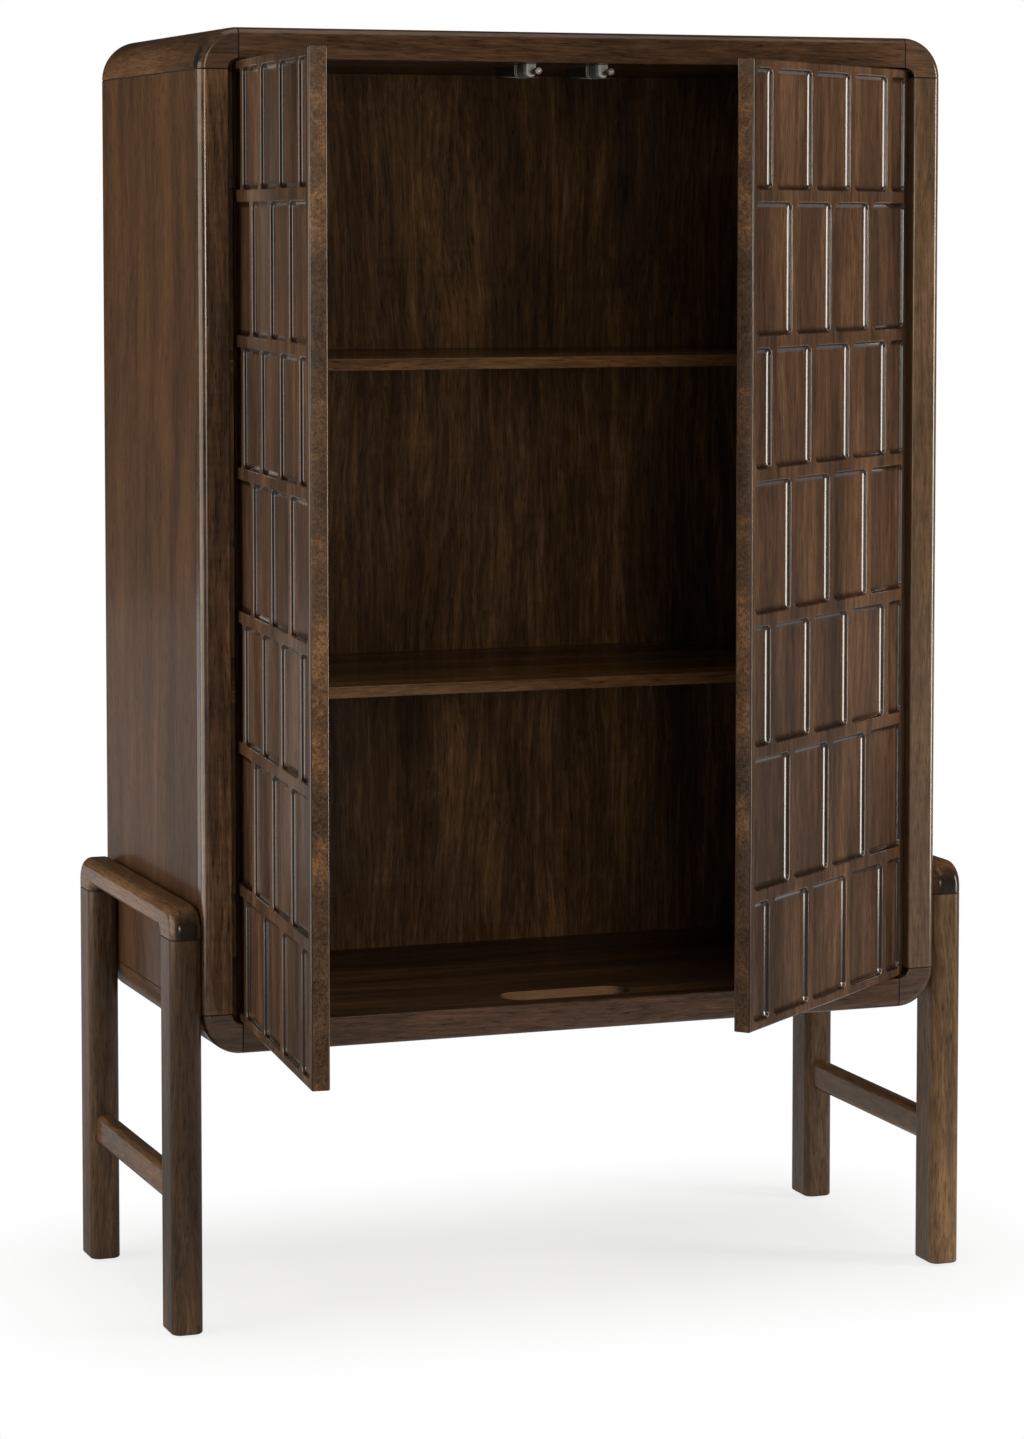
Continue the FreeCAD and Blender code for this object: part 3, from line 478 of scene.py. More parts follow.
def rubbed_gloss(tree, lacquer, normal, face):
    facing = along_axis(tree, normal, face)
    return remap(tree, facing, RUBBED_FROM, RUBBED_TO, lacquer, lacquer * RUBBED_GLOSS)


print("rubbed faces keep", RUBBED_GLOSS, "of their gloss")

# %% [markdown]
# ## Wood finishes
# Each kind of board gets its own material: the same group with its own turn, offset and stain. The
# lacquer is the shader's coat, a second smooth layer over the stain. Gloss in the stain itself
# would be simpler, but it would veil the colour instead of lying on top of it.

# %% Wood finishes
GRAIN_TURNS = {"X": (0, math.pi / 2, 0), "Y": (math.pi / 2, 0, 0), "Z": (0, 0, 0)}
LACQUER_ROUGHNESS = 0.14
STAIN_SPECULAR = 0.04
PORE_DEPTH = 0.0003


def wood_finish(
    name, along, offset, lacquer, relief=0.3, turn=None, shift=None, rubbed=None, **values
):
    """A stained board: along names the grain's axis, and turn and shift lay it on a turned door.

    A carved board also has the direction of its face, where the lacquer is rubbed down.
    """
    finish, tree = bare_material(name)
    coords = put(tree, "ShaderNodeTexCoord").outputs
    place = coords["Object"]
    if turn:
        feeds = {"Vector": place, "Rotation": turn, "Location": shift}
        place = put(tree, "ShaderNodeMapping", feeds).outputs[0]
    feeds = {"Vector": place, "Rotation": GRAIN_TURNS[along], "Location": offset}
    board = put(tree, "ShaderNodeMapping", feeds).outputs[0]
    grain = put(tree, "ShaderNodeGroup", node_tree=walnut_grain)
    tree.links.new(board, grain.inputs["Vector"])
    for label, value in values.items():
        grain.inputs[label].default_value = value
    colour, gloss = grain.outputs["Color"], lacquer
    if not turn:
        colour = soaked_ends(tree, colour, coords["Normal"], along)
    if rubbed:
        colour = glazed_and_shaded(tree, colour)
        gloss = rubbed_gloss(tree, lacquer, coords["Normal"], rubbed)
    feeds = {"Height": grain.outputs["Height"], "Strength": relief, "Distance": PORE_DEPTH}
    bumps = put(tree, "ShaderNodeBump", feeds).outputs[0]
    feeds = {"Base Color": colour, "Roughness": grain.outputs["Roughness"], "Normal": bumps}
    feeds.update({"Specular IOR Level": STAIN_SPECULAR, "Coat Weight": gloss})
    feeds.update({"Coat Roughness": LACQUER_ROUGHNESS})
    surface = put(tree, "ShaderNodeBsdfPrincipled", feeds)
    put(tree, "ShaderNodeOutputMaterial", {"Surface": surface.outputs[0]})
    return finish


print("lacquer roughness", LACQUER_ROUGHNESS)

# %% [markdown]
# ## Stains
# The boards are stained alike, yet no two match. A few on the right get a paler copy of their stain,
# which paints the stronger light that falls on that side, and the wall of the finger slot shows a
# light core that also paints the light on it. One stain for all would look like plastic, so three
# colours give each kind of board its own, from heartwood to pale streak.

# %% Stains
def tones(heart, body, streak):
    return {"Heart": shade(*heart), "Body": shade(*body), "Streak": shade(*streak)}


RAIL_TONES = tones((52, 36, 24), (68, 48, 33), (86, 61, 42))
CORNER_TONES = tones((46, 34, 25), (64, 47, 34), (82, 61, 44))
LEG_TONES = tones((46, 34, 23), (64, 48, 34), (90, 68, 48))
LEG_RAIL_TONES = tones((64, 46, 31), (86, 63, 43), (112, 82, 56))
# Paler stains for a few right-hand boards: painted light, where more light falls on that side.
BRIGHTER_LIT_CORNER_TONES = tones((58, 43, 32), (80, 60, 45), (100, 77, 57))
BRIGHTER_LIT_STILE_TONES = tones((60, 46, 33), (78, 60, 44), (96, 75, 56))
BRIGHTER_LIT_LEG_TONES = tones((62, 47, 32), (86, 66, 46), (114, 88, 62))
SIDE_TONES = tones((56, 39, 26), (69, 49, 34), (83, 60, 41))
# The slot wall's paler core also paints the light that falls on it.
SLOT_CORE_AND_LIGHT_TONES = tones((84, 63, 44), (118, 91, 66), (142, 111, 82))
BACK_TONES = tones((44, 31, 19), (67, 48, 31), (98, 72, 47))
SHELF_TONES = tones((52, 36, 22), (78, 54, 31), (104, 75, 46))
print("stains mixed")

# %% [markdown]
# ## Boards
# Each entry below is one kind of board: its material, the way its grain runs, where it was cut from
# the same endless log, how much lacquer it has, and what its grain shows. The frame is glossy, and
# the side panels and the back are nearly dull. Grain that runs the wrong way gives a model away at
# once, so it runs across in rails, upwards in stiles and legs, and from front to back in the case's
# corner posts.

# %% Boards
BOARDS = {
    "rail": (
        "rail_walnut", "X", (0.2, 0.1, 0.3), 0.6,
        {"Contrast": 2.2, "Streaking": 0.25, **RAIL_TONES},
    ),
    "stile": (
        "stile_walnut", "Z", (0.7, 0.3, 0.1), 1.0, {"Curl": 0.5, "Contrast": 2.4, "Streaking": 0.3},
    ),
    # The paler boards paint the stronger light on the right-hand pieces.
    "pale_stile": (
        "pale_stile_walnut", "Z", (0.2, 1.3, 0.4), 1.0,
        {"Curl": 0.3, "Contrast": 1.6, "Streaking": 0.1, **BRIGHTER_LIT_STILE_TONES},
    ),
    "corner": (
        "corner_walnut", "X", (0.1, 0.9, 1.7), 0.8,
        {"Contrast": 1.8, "Streaking": 0.2, **CORNER_TONES},
    ),
    "pale_corner": (
        "pale_corner_walnut", "X", (0.1, 0.4, 0.7), 0.8,
        {"Contrast": 1.5, "Streaking": 0.1, **BRIGHTER_LIT_CORNER_TONES},
    ),
    "side": (
        "side_walnut", "Z", (1.3, 0.2, 0.6), 0.15, {"Figure": 0.8, "Contrast": 1.4, **SIDE_TONES},
    ),
    "panel": ("panel_walnut", "X", (0.4, 1.1, 0.2), 0.2, {"Figure": 0.5, "Contrast": 1.2}),
    "post": ("post_walnut", "Y", (0.9, 0.4, 0.8), 0.15, {"Contrast": 1.6}),
    "shelf": ("shelf_walnut", "X", (0.6, 0.7, 2.1), 0.6, {"Contrast": 2.0, **SHELF_TONES}),
    "leg": (
        "leg_walnut", "Z", (2.3, 0.5, 0.4), 0.35, {"Figure": 0.5, "Contrast": 2.0, **LEG_TONES},
    ),
    "pale_leg": (
        "pale_leg_walnut", "Z", (1.1, 0.9, 0.2), 0.35,
        {"Figure": 0.5, "Contrast": 2.0, **BRIGHTER_LIT_LEG_TONES},
    ),
    "leg_rail": ("leg_rail_walnut", "Y", (1.9, 0.2, 0.7), 0.5, {"Contrast": 1.8, **LEG_RAIL_TONES}),
    "slot": ("slot_core", "X", (0.9, 1.6, 0.3), 0.0, SLOT_CORE_AND_LIGHT_TONES),
    "back": (
        "back_veneer", "Z", (0.5, 2.2, 0.9), 0.1,
        {"Figure": 0.5, "Curl": 0.2, "Contrast": 1.9, "Streaking": 0.3, **BACK_TONES},
    ),
}
WOODS = {}
for wood, (name, along, offset, lacquer, values) in BOARDS.items():
    WOODS[wood] = wood_finish(name, along, offset, lacquer, **values)
print(len(WOODS), "wood finishes")

# %% [markdown]
# ## Glue line and painted shade
# Where two boards meet, stain and dust settle in the seam, and the narrow groove lies in shade. The
# nearly black line paints that shade together with the stain. It is a finish of its own, because
# it lies in a real groove that the joinery below cuts.

# %% Glue line and painted shade
GLUE_AND_SHADE_PATCHES = (90.0, 90.0, 90.0)
GLUE_ROUGHNESS = 0.8

glue_line_and_shade, tree = bare_material("glue_line_and_shade")
dark = mottle(tree, stretch(tree, put(tree, "ShaderNodeTexCoord").outputs["Object"], GLUE_AND_SHADE_PATCHES))
dark = mix_colour(tree, dark.outputs[0], shade(10, 6, 4), shade(20, 13, 8))
surface = put(tree, "ShaderNodeBsdfPrincipled", {"Base Color": dark, "Roughness": GLUE_ROUGHNESS})
put(tree, "ShaderNodeOutputMaterial", {"Surface": surface.outputs[0]})
print("glue line mixed")

# %% [markdown]
# ## Joinery
# The CAD solids have the right shape, but their triangles are loose, and where two boards meet
# there is no line. A cabinet maker eases those edges with a stroke of a plane. So each node is
# copied, its triangles are merged, and the rim of each joint is bevelled with the glue line's dark
# finish, which also paints the shade in the groove. Shelves and metal parts have every hard edge
# rounded a little instead.

# %% Joinery helpers
SHARP = math.radians(34)
FLAT = math.radians(0.4)
MERGE = 1e-6
ON_PLANE = 2e-5
# The groove faces take the glue line: stain in the seam, and painted shade.
GLUE_AND_SHADE, CORE_AND_LIGHT = 1, 2


def merged_copy(node):
    """A node's triangles as one joined mesh whose flat faces are whole."""
    shape = bmesh.new()
    shape.from_mesh(NODES[node].data)
    bmesh.ops.remove_doubles(shape, verts=shape.verts, dist=MERGE)
    bmesh.ops.dissolve_limit(shape, angle_limit=FLAT, verts=shape.verts, edges=shape.edges)
    return shape


def is_hard(edge):
    return edge.is_manifold and edge.calc_face_angle() > SHARP


def groove(shape, planes, width):
    """Ease the rims that lie on the given planes, each an axis and a place along it."""
    rims = set()
    for edge in shape.edges:
        for axis, place in planes:
            flat = all(abs(corner.co[axis] - place) < ON_PLANE for corner in edge.verts)
            if flat and is_hard(edge):
                rims.add(edge)
    bmesh.ops.bevel(
        shape, geom=list(rims), offset=width, segments=1, profile=0.5, affect="EDGES", material=GLUE_AND_SHADE
    )


def eased_copy(node, width):
    """A joined copy of a node with every hard edge rounded a little."""
    shape = merged_copy(node)
    rims = [edge for edge in shape.edges if is_hard(edge)]
    bmesh.ops.bevel(
        shape, geom=rims, offset=width, segments=2, profile=0.5, affect="EDGES", clamp_overlap=True
    )
    return shape


print("edges over", round(math.degrees(SHARP)), "degrees are hard")

# %% [markdown]
# ## Finished pieces
# Every piece ends in the same way. Rounded edges are shaded smooth, hard ones stay sharp, and
# weighted normals keep the flat faces flat beside a small bevel. The modifier is applied, so that a
# plain mesh is left, and the piece then rides on its body and stands for its CAD nodes.

# %% Finished pieces
def plain_mesh(piece):
    """Apply a piece's modifiers, so that only a mesh is left."""
    evaluated = piece.evaluated_get(bpy.context.evaluated_depsgraph_get())
    made = bpy.data.meshes.new_from_object(evaluated)
    piece.modifiers.clear()
    piece.data = made
    return made


def make_piece(name, shape, finishes, body, nodes):
    """Turn a bmesh into a finished object that rides on its body and stands for its CAD nodes."""
    mesh = bpy.data.meshes.new(name)
    shape.to_mesh(mesh)
    shape.free()
    for finish in finishes:
        mesh.materials.append(finish)
    mesh.shade_smooth()
    mesh.set_sharp_from_angle(angle=SHARP)
    piece = bpy.data.objects.new(name, mesh)
    scene.collection.objects.link(piece)
    weigh = piece.modifiers.new("flat_faces_stay_flat", "WEIGHTED_NORMAL")
    weigh.keep_sharp = True
    plain_mesh(piece)
    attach(piece, body)
    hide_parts(*nodes)
    return piece


print("ready to finish pieces for", len(NODES), "nodes")

# %% [markdown]
# ## Face frame and case
# The front is a frame of rails, stiles and four rounded corner blocks, with a case of panels and
# posts behind it. The seams between them could be drawn in the material, but a real groove also
# breaks the highlight along the bullnose. The bottom panel has a routed finger slot, whose wall
# shows the paler core of the board, made paler still to paint the light that falls on it. A few
# right-hand boards take a paler stain that paints the stronger light on that side.

# %% Face frame and case
JOINT_EASE = 0.0008
SLOT_MIDDLE, SLOT_HALF = (0.0, -0.166), (0.0830, 0.0275)
UPRIGHT = 0.5
CORNERS = [f"{level}_{side}" for level in ("top", "bottom") for side in SIDES]
# These right-hand boards take the paler stain, which paints the stronger light on that side.
BRIGHTER_LIT_BOARDS = ("top_right_frame_corner", "right_stile", "right_front_leg")
CASE_PIECES = {
    "rail": ("frame_wood", ["top_rail", "bottom_rail"]),
    "stile": ("frame_wood", ["left_stile", "right_stile"]),
    "corner": ("frame_wood", [corner + "_frame_corner" for corner in CORNERS]),
    "side": ("case_wood", ["left_side_panel", "right_side_panel"]),
    "panel": ("case_wood", ["top_panel", "bottom_panel"]),
    "post": ("case_wood", [corner + "_corner_post" for corner in CORNERS]),
}
rail_low, rail_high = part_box("top_rail")
stile_low, stile_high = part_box("left_stile")
CASE_JOINTS = [
    (X_AXIS, rail_low.x), (X_AXIS, rail_high.x), (Z_AXIS, stile_low.z), (Z_AXIS, stile_high.z),
    (Y_AXIS, rail_high.y),
]


def board_for(wood, node):
    """The finish of a node's board, with a paler stain that paints the stronger light on a few
    right-hand boards.
    """
    return WOODS["pale_" + wood if node in BRIGHTER_LIT_BOARDS else wood]


def give_slot_core_and_light(shape):
    """Give the routed wall of the finger slot its paler core, which also paints the light on it."""
    for face in shape.faces:
        inside = all(
            abs(corner.co[axis] - SLOT_MIDDLE[axis]) < SLOT_HALF[axis]
            for corner in face.verts for axis in (X_AXIS, Y_AXIS)
        )
        if inside and abs(face.normal.z) < UPRIGHT:
            # Slot wall: a paler core, and painted light on it.
            face.material_index = CORE_AND_LIGHT


for wood, (slot, names) in CASE_PIECES.items():
    for name in names:
        shape = merged_copy(name)
        groove(shape, CASE_JOINTS, JOINT_EASE)
        give_slot_core_and_light(shape)
        finishes = [board_for(wood, name), glue_line_and_shade, WOODS["slot"]]
        make_piece("eased_" + name, shape, finishes, "case", [name])
print("case pieces eased:", sum(len(names) for _, names in CASE_PIECES.values()))

# %% [markdown]
# ## Leg frames
# Each leg frame is an upside-down U: a rail that turns down at both ends, two legs and a low
# stretcher. It could be one bent shape, but the parts are glued together a short way below the bend,
# and that seam gets the same groove as the seams of the case.

# %% Leg frames
LEG_PIECES = {"leg": ["front_leg", "back_leg"], "leg_rail": ["leg_rail", "stretcher"]}
leg_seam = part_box("left_front_leg")[1].z
for side in SIDES:
    for wood, names in LEG_PIECES.items():
        for name in names:
            node = f"{side}_{name}"
            shape = merged_copy(node)
            groove(shape, [(Z_AXIS, leg_seam)], JOINT_EASE)
            finishes = [board_for(wood, node), glue_line_and_shade]
            make_piece("eased_" + node, shape, finishes, "case", [node])
print("leg seam at", round(leg_seam, 4))

# %% [markdown]
# ## Shelves and back
# The shelves are loose boards whose edges are rounded to the hand, so every hard edge is eased. The
# back is one sheet of veneer set into the case. Its edges are hidden, so it needs only its finish.

# %% Shelves and back
EDGE_EASE = 0.0014
for name in ("upper_shelf", "lower_shelf"):
    shape = eased_copy(name, EDGE_EASE)
    make_piece("eased_" + name, shape, [WOODS["shelf"]], "case", [name])
shape = merged_copy("back_panel")
make_piece("veneered_back", shape, [WOODS["back"]], "case", ["back_panel"])
print("shelves and back done")

# %% [markdown]
# ## Lofted shapes
# The door blank, the pocket cutters and the fixings are all a stack of outlines with a skin drawn
# over them. One loft helper makes them, and so every wall is closed and every edge loop runs in
# order, which the boolean cuts below rely on.

# %% Lofted shapes
def round_outline(width, height, radii, steps=7):
    """Points round a rectangle centred on the origin, with a radius at each corner."""
    points = []
    for quarter, ((sx, sz), radius) in enumerate(zip(QUARTERS, radii)):
        x, z = sx * (width / 2 - radius), sz * (height / 2 - radius)
        for step in range(steps + 1):
            angle = math.pi + (quarter + step / steps) * math.pi / 2
            points.append((x + radius * math.cos(angle), z + radius * math.sin(angle)))
    return points


def loft(rings):
    """A closed skin through rings that have the same number of points, capped at both ends."""
    shape = bmesh.new()
    loops = [[shape.verts.new(point) for point in ring] for ring in rings]
    count = len(loops[0])
    for lower, upper in zip(loops, loops[1:]):
        for index in range(count):
            after = (index + 1) % count
            shape.faces.new((lower[index], lower[after], upper[after], upper[index]))
    shape.faces.new(loops[0])
    shape.faces.new(loops[-1])
    bmesh.ops.remove_doubles(shape, verts=shape.verts, dist=MERGE)
    bmesh.ops.recalc_face_normals(shape, faces=shape.faces)
    return shape


def turned(profile, segments=28):
    """A lathe-turned shape about Z, from (radius, height) pairs."""
    turns = [2 * math.pi * step / segments for step in range(segments)]
    rings = []
    for radius, height in profile:
        rings.append([(radius * math.cos(t), radius * math.sin(t), height) for t in turns])
    return loft(rings)


def tool(name, shape):
    """A cutter or pattern object for a node tree. It is thrown away afterwards."""
    mesh = bpy.data.meshes.new(name)
    shape.to_mesh(mesh)
    shape.free()
    made = bpy.data.objects.new(name, mesh)
    scene.collection.objects.link(made)
    return made


print("loft helpers ready")

# %% [markdown]
# ## Doors as they hang
# The doors are carved shut, where the pattern is square to the axes, and then swung to where they
# rest. The joint in the frame gives the pivot, the axis and how far the rest pose is from shut.

# %% Doors as they hang
def hang(side):
    """The turn that takes a closed door to where it rests."""
    joint = JOINTS[side + "_door_swing"]
    pivot = Vector(joint["pos_m"])
    turn = Matrix.Rotation(math.radians(-joint["range_deg"][0]), 4, Vector(joint["axis"]))
    return Matrix.Translation(pivot) @ turn @ Matrix.Translation(-pivot)


def span(points):
    """The low and high corners of the box round some points."""
    low = Vector([min(point[axis] for point in points) for axis in range(3)])
    high = Vector([max(point[axis] for point in points) for axis in range(3)])
    return low, high


def closed_box(side):
    """A door's corners with the door shut."""
    shut = hang(side).inverted()
    return span([shut @ corner.co for corner in NODES[side + "_door"].data.vertices])


door_low, door_high = closed_box("left")
door_size = door_high - door_low
print(f"door {door_size.x:.4f} wide, {door_size.z:.4f} high, {door_size.y:.4f} thick")

# %% [markdown]
# ## Carved pockets
# Each door is one board with a staggered brick pattern of shallow pockets. A bump texture would
# give no outline at a grazing angle, so the pockets are real. Walked in from the face, a pocket is
# a rounded lip, a steep wall, a tight foot, a shallow scoop and an almost flat floor. The scoop is
# what draws the bright upright lines, because some part of its curve mirrors a lamp.

# %% Pocket profile
LIP_OVERHANG, OVERCUT = 0.0013, 0.002
LIP_RADIUS, WALL_LENGTH, FOOT_RADIUS, SCOOP_RADIUS = 0.0022, 0.0018, 0.0010, 0.0170
LIP_STEPS, FOOT_STEPS, SCOOP_STEPS = 5, 4, 6
WALL_SLOPE, SCOOP_SLOPE, FLOOR_SLOPE = 66, 26, 6
FLOOR_INSET, FLOOR_DISH = 0.006, 0.00004


def pocket_profile():
    """Inset and depth of each ring, walked in from the face: lip, wall, foot, scoop and floor."""
    rings = [(-LIP_OVERHANG, -OVERCUT), (-LIP_OVERHANG, 0.0)]

    def walk(inset, depth):
        rings.append((rings[-1][0] + inset, rings[-1][1] + depth))

    def bend(radius, start, end, steps):
        for step in range(steps):
            a, b = (math.radians(start + (end - start) * (step + i) / steps) for i in (0, 1))
            walk(radius * abs(math.sin(b) - math.sin(a)), radius * abs(math.cos(a) - math.cos(b)))

    bend(LIP_RADIUS, 0, WALL_SLOPE, LIP_STEPS)
    slope = math.radians(WALL_SLOPE)
    walk(WALL_LENGTH * math.cos(slope), WALL_LENGTH * math.sin(slope))
    bend(FOOT_RADIUS, WALL_SLOPE, SCOOP_SLOPE, FOOT_STEPS)
    bend(SCOOP_RADIUS, SCOOP_SLOPE, FLOOR_SLOPE, SCOOP_STEPS)
    walk(FLOOR_INSET, FLOOR_DISH)
    return rings


profile = pocket_profile()
lip_end = 1 + LIP_STEPS
foot_end = lip_end + 1 + FOOT_STEPS
scoop_end = foot_end + SCOOP_STEPS
lip_depth, foot_depth = profile[lip_end][1], profile[foot_end][1]
floor_inset, floor_depth = profile[scoop_end]
print(f"pocket {floor_depth * 1000:.2f} mm deep, floor {floor_inset * 1000:.2f} mm in")

# %% [markdown]
# ## Pocket cutters
# Three cutters cover every pocket: tall ones in full rows, and short and half ones in the rows
# between, which are offset by half a pocket. The sizes follow from the door, the ridges between
# pockets and the border round them, so the pattern fills the board exactly.

# %% Pocket cutters
COLUMNS, ROWS = 4, 7
RIDGE, ROW_GAP, BORDER = 0.013, 0.014, 0.010
TALL_EXTRA = 0.014
POCKET_CORNER = 0.008

pitch = (door_size.x - 2 * (BORDER - RIDGE / 2)) / COLUMNS
short_row = (door_size.z - 2 * (BORDER - ROW_GAP / 2) - (ROWS // 2) * TALL_EXTRA) / ROWS
row_step = 2 * short_row + TALL_EXTRA


def pocket_cutter(name, width, height):
    rings = []
    for inset, depth in profile:
        rounds = [POCKET_CORNER - min(inset, floor_inset)] * 4
        outline = round_outline(width - 2 * inset, height - 2 * inset, rounds)
        rings.append([(x, depth, z) for x, z in outline])
    return tool(name, loft(rings))


cutters = {
    "Tall pocket": pocket_cutter("tall_pocket", pitch - RIDGE, short_row + TALL_EXTRA - ROW_GAP),
    "Short pocket": pocket_cutter("short_pocket", pitch - RIDGE, short_row - ROW_GAP),
    "Half pocket": pocket_cutter("half_pocket", pitch / 2 - RIDGE, short_row - ROW_GAP),
}
print(f"pitch {pitch:.4f}, short rows {short_row:.4f}")

# %% [markdown]
# ## Node trees on pieces
# A node tree leaves its copies as instances, which an export drops. So every tree ends by making
# them real and giving them their finish, and the result is kept as a plain mesh.

# %% Node trees on pieces
def end_tree(tree, geometry, finish):
    """Make copies real and give them their finish, because instances are lost in an export."""
    whole = put(tree, "GeometryNodeRealizeInstances", {"Geometry": geometry}).outputs[0]
    feeds = {"Geometry": whole, "Material": finish}
    put(tree, "NodeGroupOutput", {0: put(tree, "GeometryNodeSetMaterial", feeds).outputs[0]})


def run_tree(piece, tree, values):
    """Put a node tree on a piece, set its inputs by identifier, and keep the plain mesh."""
    worker = piece.modifiers.new(tree.name, "NODES")
    worker.node_group = tree
    for item in tree.interface.items_tree:
        if item.in_out == "INPUT" and item.name in values:
            worker[item.identifier] = values[item.name]
    return plain_mesh(piece)


print("tree helpers ready")

# %% [markdown]
# ## Setting out the pockets
# The pattern follows a rule, so a Geometry Nodes tree sets the cutters out: each kind on a grid of
# its own, and the bores for the hinge cups on a line up the back. It then cuts them all from the
# blank in one boolean. A change to the pitch or the rows moves every pocket with it.

# %% Pocket layout tree
CUPS = 3


def carve_tree():
    """Geometry Nodes: three grids of pockets and a column of cup bores, cut out of the blank."""
    tree = bpy.data.node_groups.new("carve_pockets", "GeometryNodeTree")
    inputs = [("Geometry", "NodeSocketGeometry", None)]
    for label in ("Tall pocket", "Short pocket", "Half pocket", "Cup bore"):
        inputs.append((label, "NodeSocketObject", None))
    for label in ("Pitch", "Row step", "Cup spread"):
        inputs.append((label, "NodeSocketFloat", None))
    for label in ("Face middle", "Lowest cup"):
        inputs.append((label, "NodeSocketVector", None))
    inputs.append(("Finish", "NodeSocketMaterial", None))
    given = group_sockets(tree, inputs, [("Geometry", "NodeSocketGeometry")])
    tall_rows = ROWS // 2
    layouts = (
        ("Tall pocket", COLUMNS, COLUMNS - 1.0, tall_rows),
        ("Short pocket", COLUMNS - 1, COLUMNS - 2.0, ROWS - tall_rows),
        ("Half pocket", 2, COLUMNS - 0.5, ROWS - tall_rows),
    )
    cuts = []
    for label, across, pitches, up in layouts:
        feeds = {"Vertices X": across, "Vertices Y": up}
        feeds["Size X"] = sum_up(tree, "MULTIPLY", given["Pitch"], pitches)
        feeds["Size Y"] = sum_up(tree, "MULTIPLY", given["Row step"], up - 1.0)
        grid = put(tree, "GeometryNodeMeshGrid", feeds).outputs["Mesh"]
        feeds = {"Geometry": grid, "Rotation": (math.pi / 2, 0, 0)}
        feeds["Translation"] = given["Face middle"]
        cuts.append((label, put(tree, "GeometryNodeTransform", feeds).outputs[0]))
    step = put(tree, "ShaderNodeCombineXYZ", {"Z": given["Cup spread"]}).outputs[0]
    feeds = {"Count": CUPS, "Start Location": given["Lowest cup"], "Offset": step}
    cuts.append(("Cup bore", put(tree, "GeometryNodeMeshLine", feeds).outputs[0]))
    feeds = {"Mesh 1": given["Geometry"]}
    carve = put(tree, "GeometryNodeMeshBoolean", feeds, operation="DIFFERENCE", solver="EXACT")
    for label, points in cuts:
        cutter = put(tree, "GeometryNodeObjectInfo", {"Object": given[label]}).outputs["Geometry"]
        feeds = {"Points": points, "Instance": cutter}
        placed = put(tree, "GeometryNodeInstanceOnPoints", feeds).outputs[0]
        placed = put(tree, "GeometryNodeRealizeInstances", {"Geometry": placed}).outputs[0]
        tree.links.new(placed, carve.inputs["Mesh 2"])
    end_tree(tree, carve.outputs["Mesh"], given["Finish"])
    return tree


carving = carve_tree()
print("carve_pockets has", len(carving.nodes), "nodes")

# %% [markdown]
# ## Loose solids of a node
# Three hinge cups, or a dozen screws, are one node in the CAD. To set a finished screw on each
# seat, the solids have to be told apart again. They don't touch, so walking along the edges from
# any corner finds one whole solid.

# %% Loose solids of a node
def islands(node, turn=Matrix()):
    """The low and high corners of each separate solid in a node, from the lowest up."""
    shape = bmesh.new()
    shape.from_mesh(NODES[node].data)
    bmesh.ops.remove_doubles(shape, verts=shape.verts, dist=MERGE)
    left = set(shape.verts)
    found = []
    while left:
        front = [left.pop()]
        points = []
        while front:
            corner = front.pop()
            points.append(turn @ corner.co)
            for edge in corner.link_edges:
                other = edge.other_vert(corner)
                if other in left:
                    left.remove(other)
                    front.append(other)
        found.append(span(points))
    shape.free()
    return sorted(found, key=lambda box: tuple(box[0])[::-1])


print("a door hangs on", len(islands("left_hinge_cups")), "hinges")

# %% [markdown]
# ## Door blanks
# Before carving, a door is a flat board with rounded rims. Its hinge side has rounded corners that
# follow the frame's opening, and its free side is square. It is lofted, so that the rims are round
# in both directions.

# %% Door blanks
DOOR_EASE, EASE_STEPS = 0.002, 4
HINGE_CORNER, FREE_CORNER = 0.010, 0.0006


def door_blank(low, high, hinge_left):
    """The closed door before carving: eased rims, and rounded corners on its hinge side."""
    levels = []
    for step in range(EASE_STEPS + 1):
        angle = step / EASE_STEPS * math.pi / 2
        levels.append((DOOR_EASE * (1 - math.sin(angle)), low.y + DOOR_EASE * (1 - math.cos(angle))))
    levels += [(inset, low.y + high.y - level) for inset, level in reversed(levels)]
    middle = (low + high) / 2
    rings = []
    for inset, level in levels:
        hinge, free = HINGE_CORNER - inset, FREE_CORNER
        rounds = [hinge, free, free, hinge] if hinge_left else [free, hinge, hinge, free]
        outline = round_outline(high.x - low.x - 2 * inset, high.z - low.z - 2 * inset, rounds)
        rings.append([(middle.x + x, level, middle.z + z) for x, z in outline])
    return loft(rings)


print("door rims eased by", DOOR_EASE)

# %% [markdown]
# ## Door finishes
# The carved face and the free edge are two finishes: the face is fully lacquered, and the edge shows
# open grain under very little. The grain is laid out on the closed door, so that the pattern runs
# on when both are shut. The carver's dark glaze, together with painted shade in the pockets, is kept
# on the mesh as an attribute, because it follows the depth of the carving: none on the face, all of
# it below the lip, and a little on the floor.

# %% Door finishes
FACE_TONES = tones((46, 33, 24), (68, 49, 36), (94, 70, 51))
EDGE_TONES = tones((46, 33, 23), (74, 54, 37), (124, 90, 58))
FACE_RELIEF = 0.03
FLOOR_GLAZE_AND_SHADE = 0.12
OUTWARD = Vector((0, -1, 0))


def door_finishes(side):
    """The door's face and its free edge, with the grain laid out on the closed door."""
    shut = hang(side).inverted()
    laid = {"turn": tuple(shut.to_euler()), "shift": tuple(shut.translation)}
    face = wood_finish(
        side + "_door_walnut", "Z", (0.35, 0.8, 0.5), 1.0, FACE_RELIEF,
        rubbed=tuple(hang(side).to_3x3() @ OUTWARD),
        Curl=0.1, Contrast=1.7, Streaking=0.15, **laid, **FACE_TONES,
    )
    edge = wood_finish(
        side + "_door_edge", "X", (0.3, 0.1, 1.5), 0.15, Pores=1.0, Contrast=2.8, **laid, **EDGE_TONES
    )
    return [face, edge]


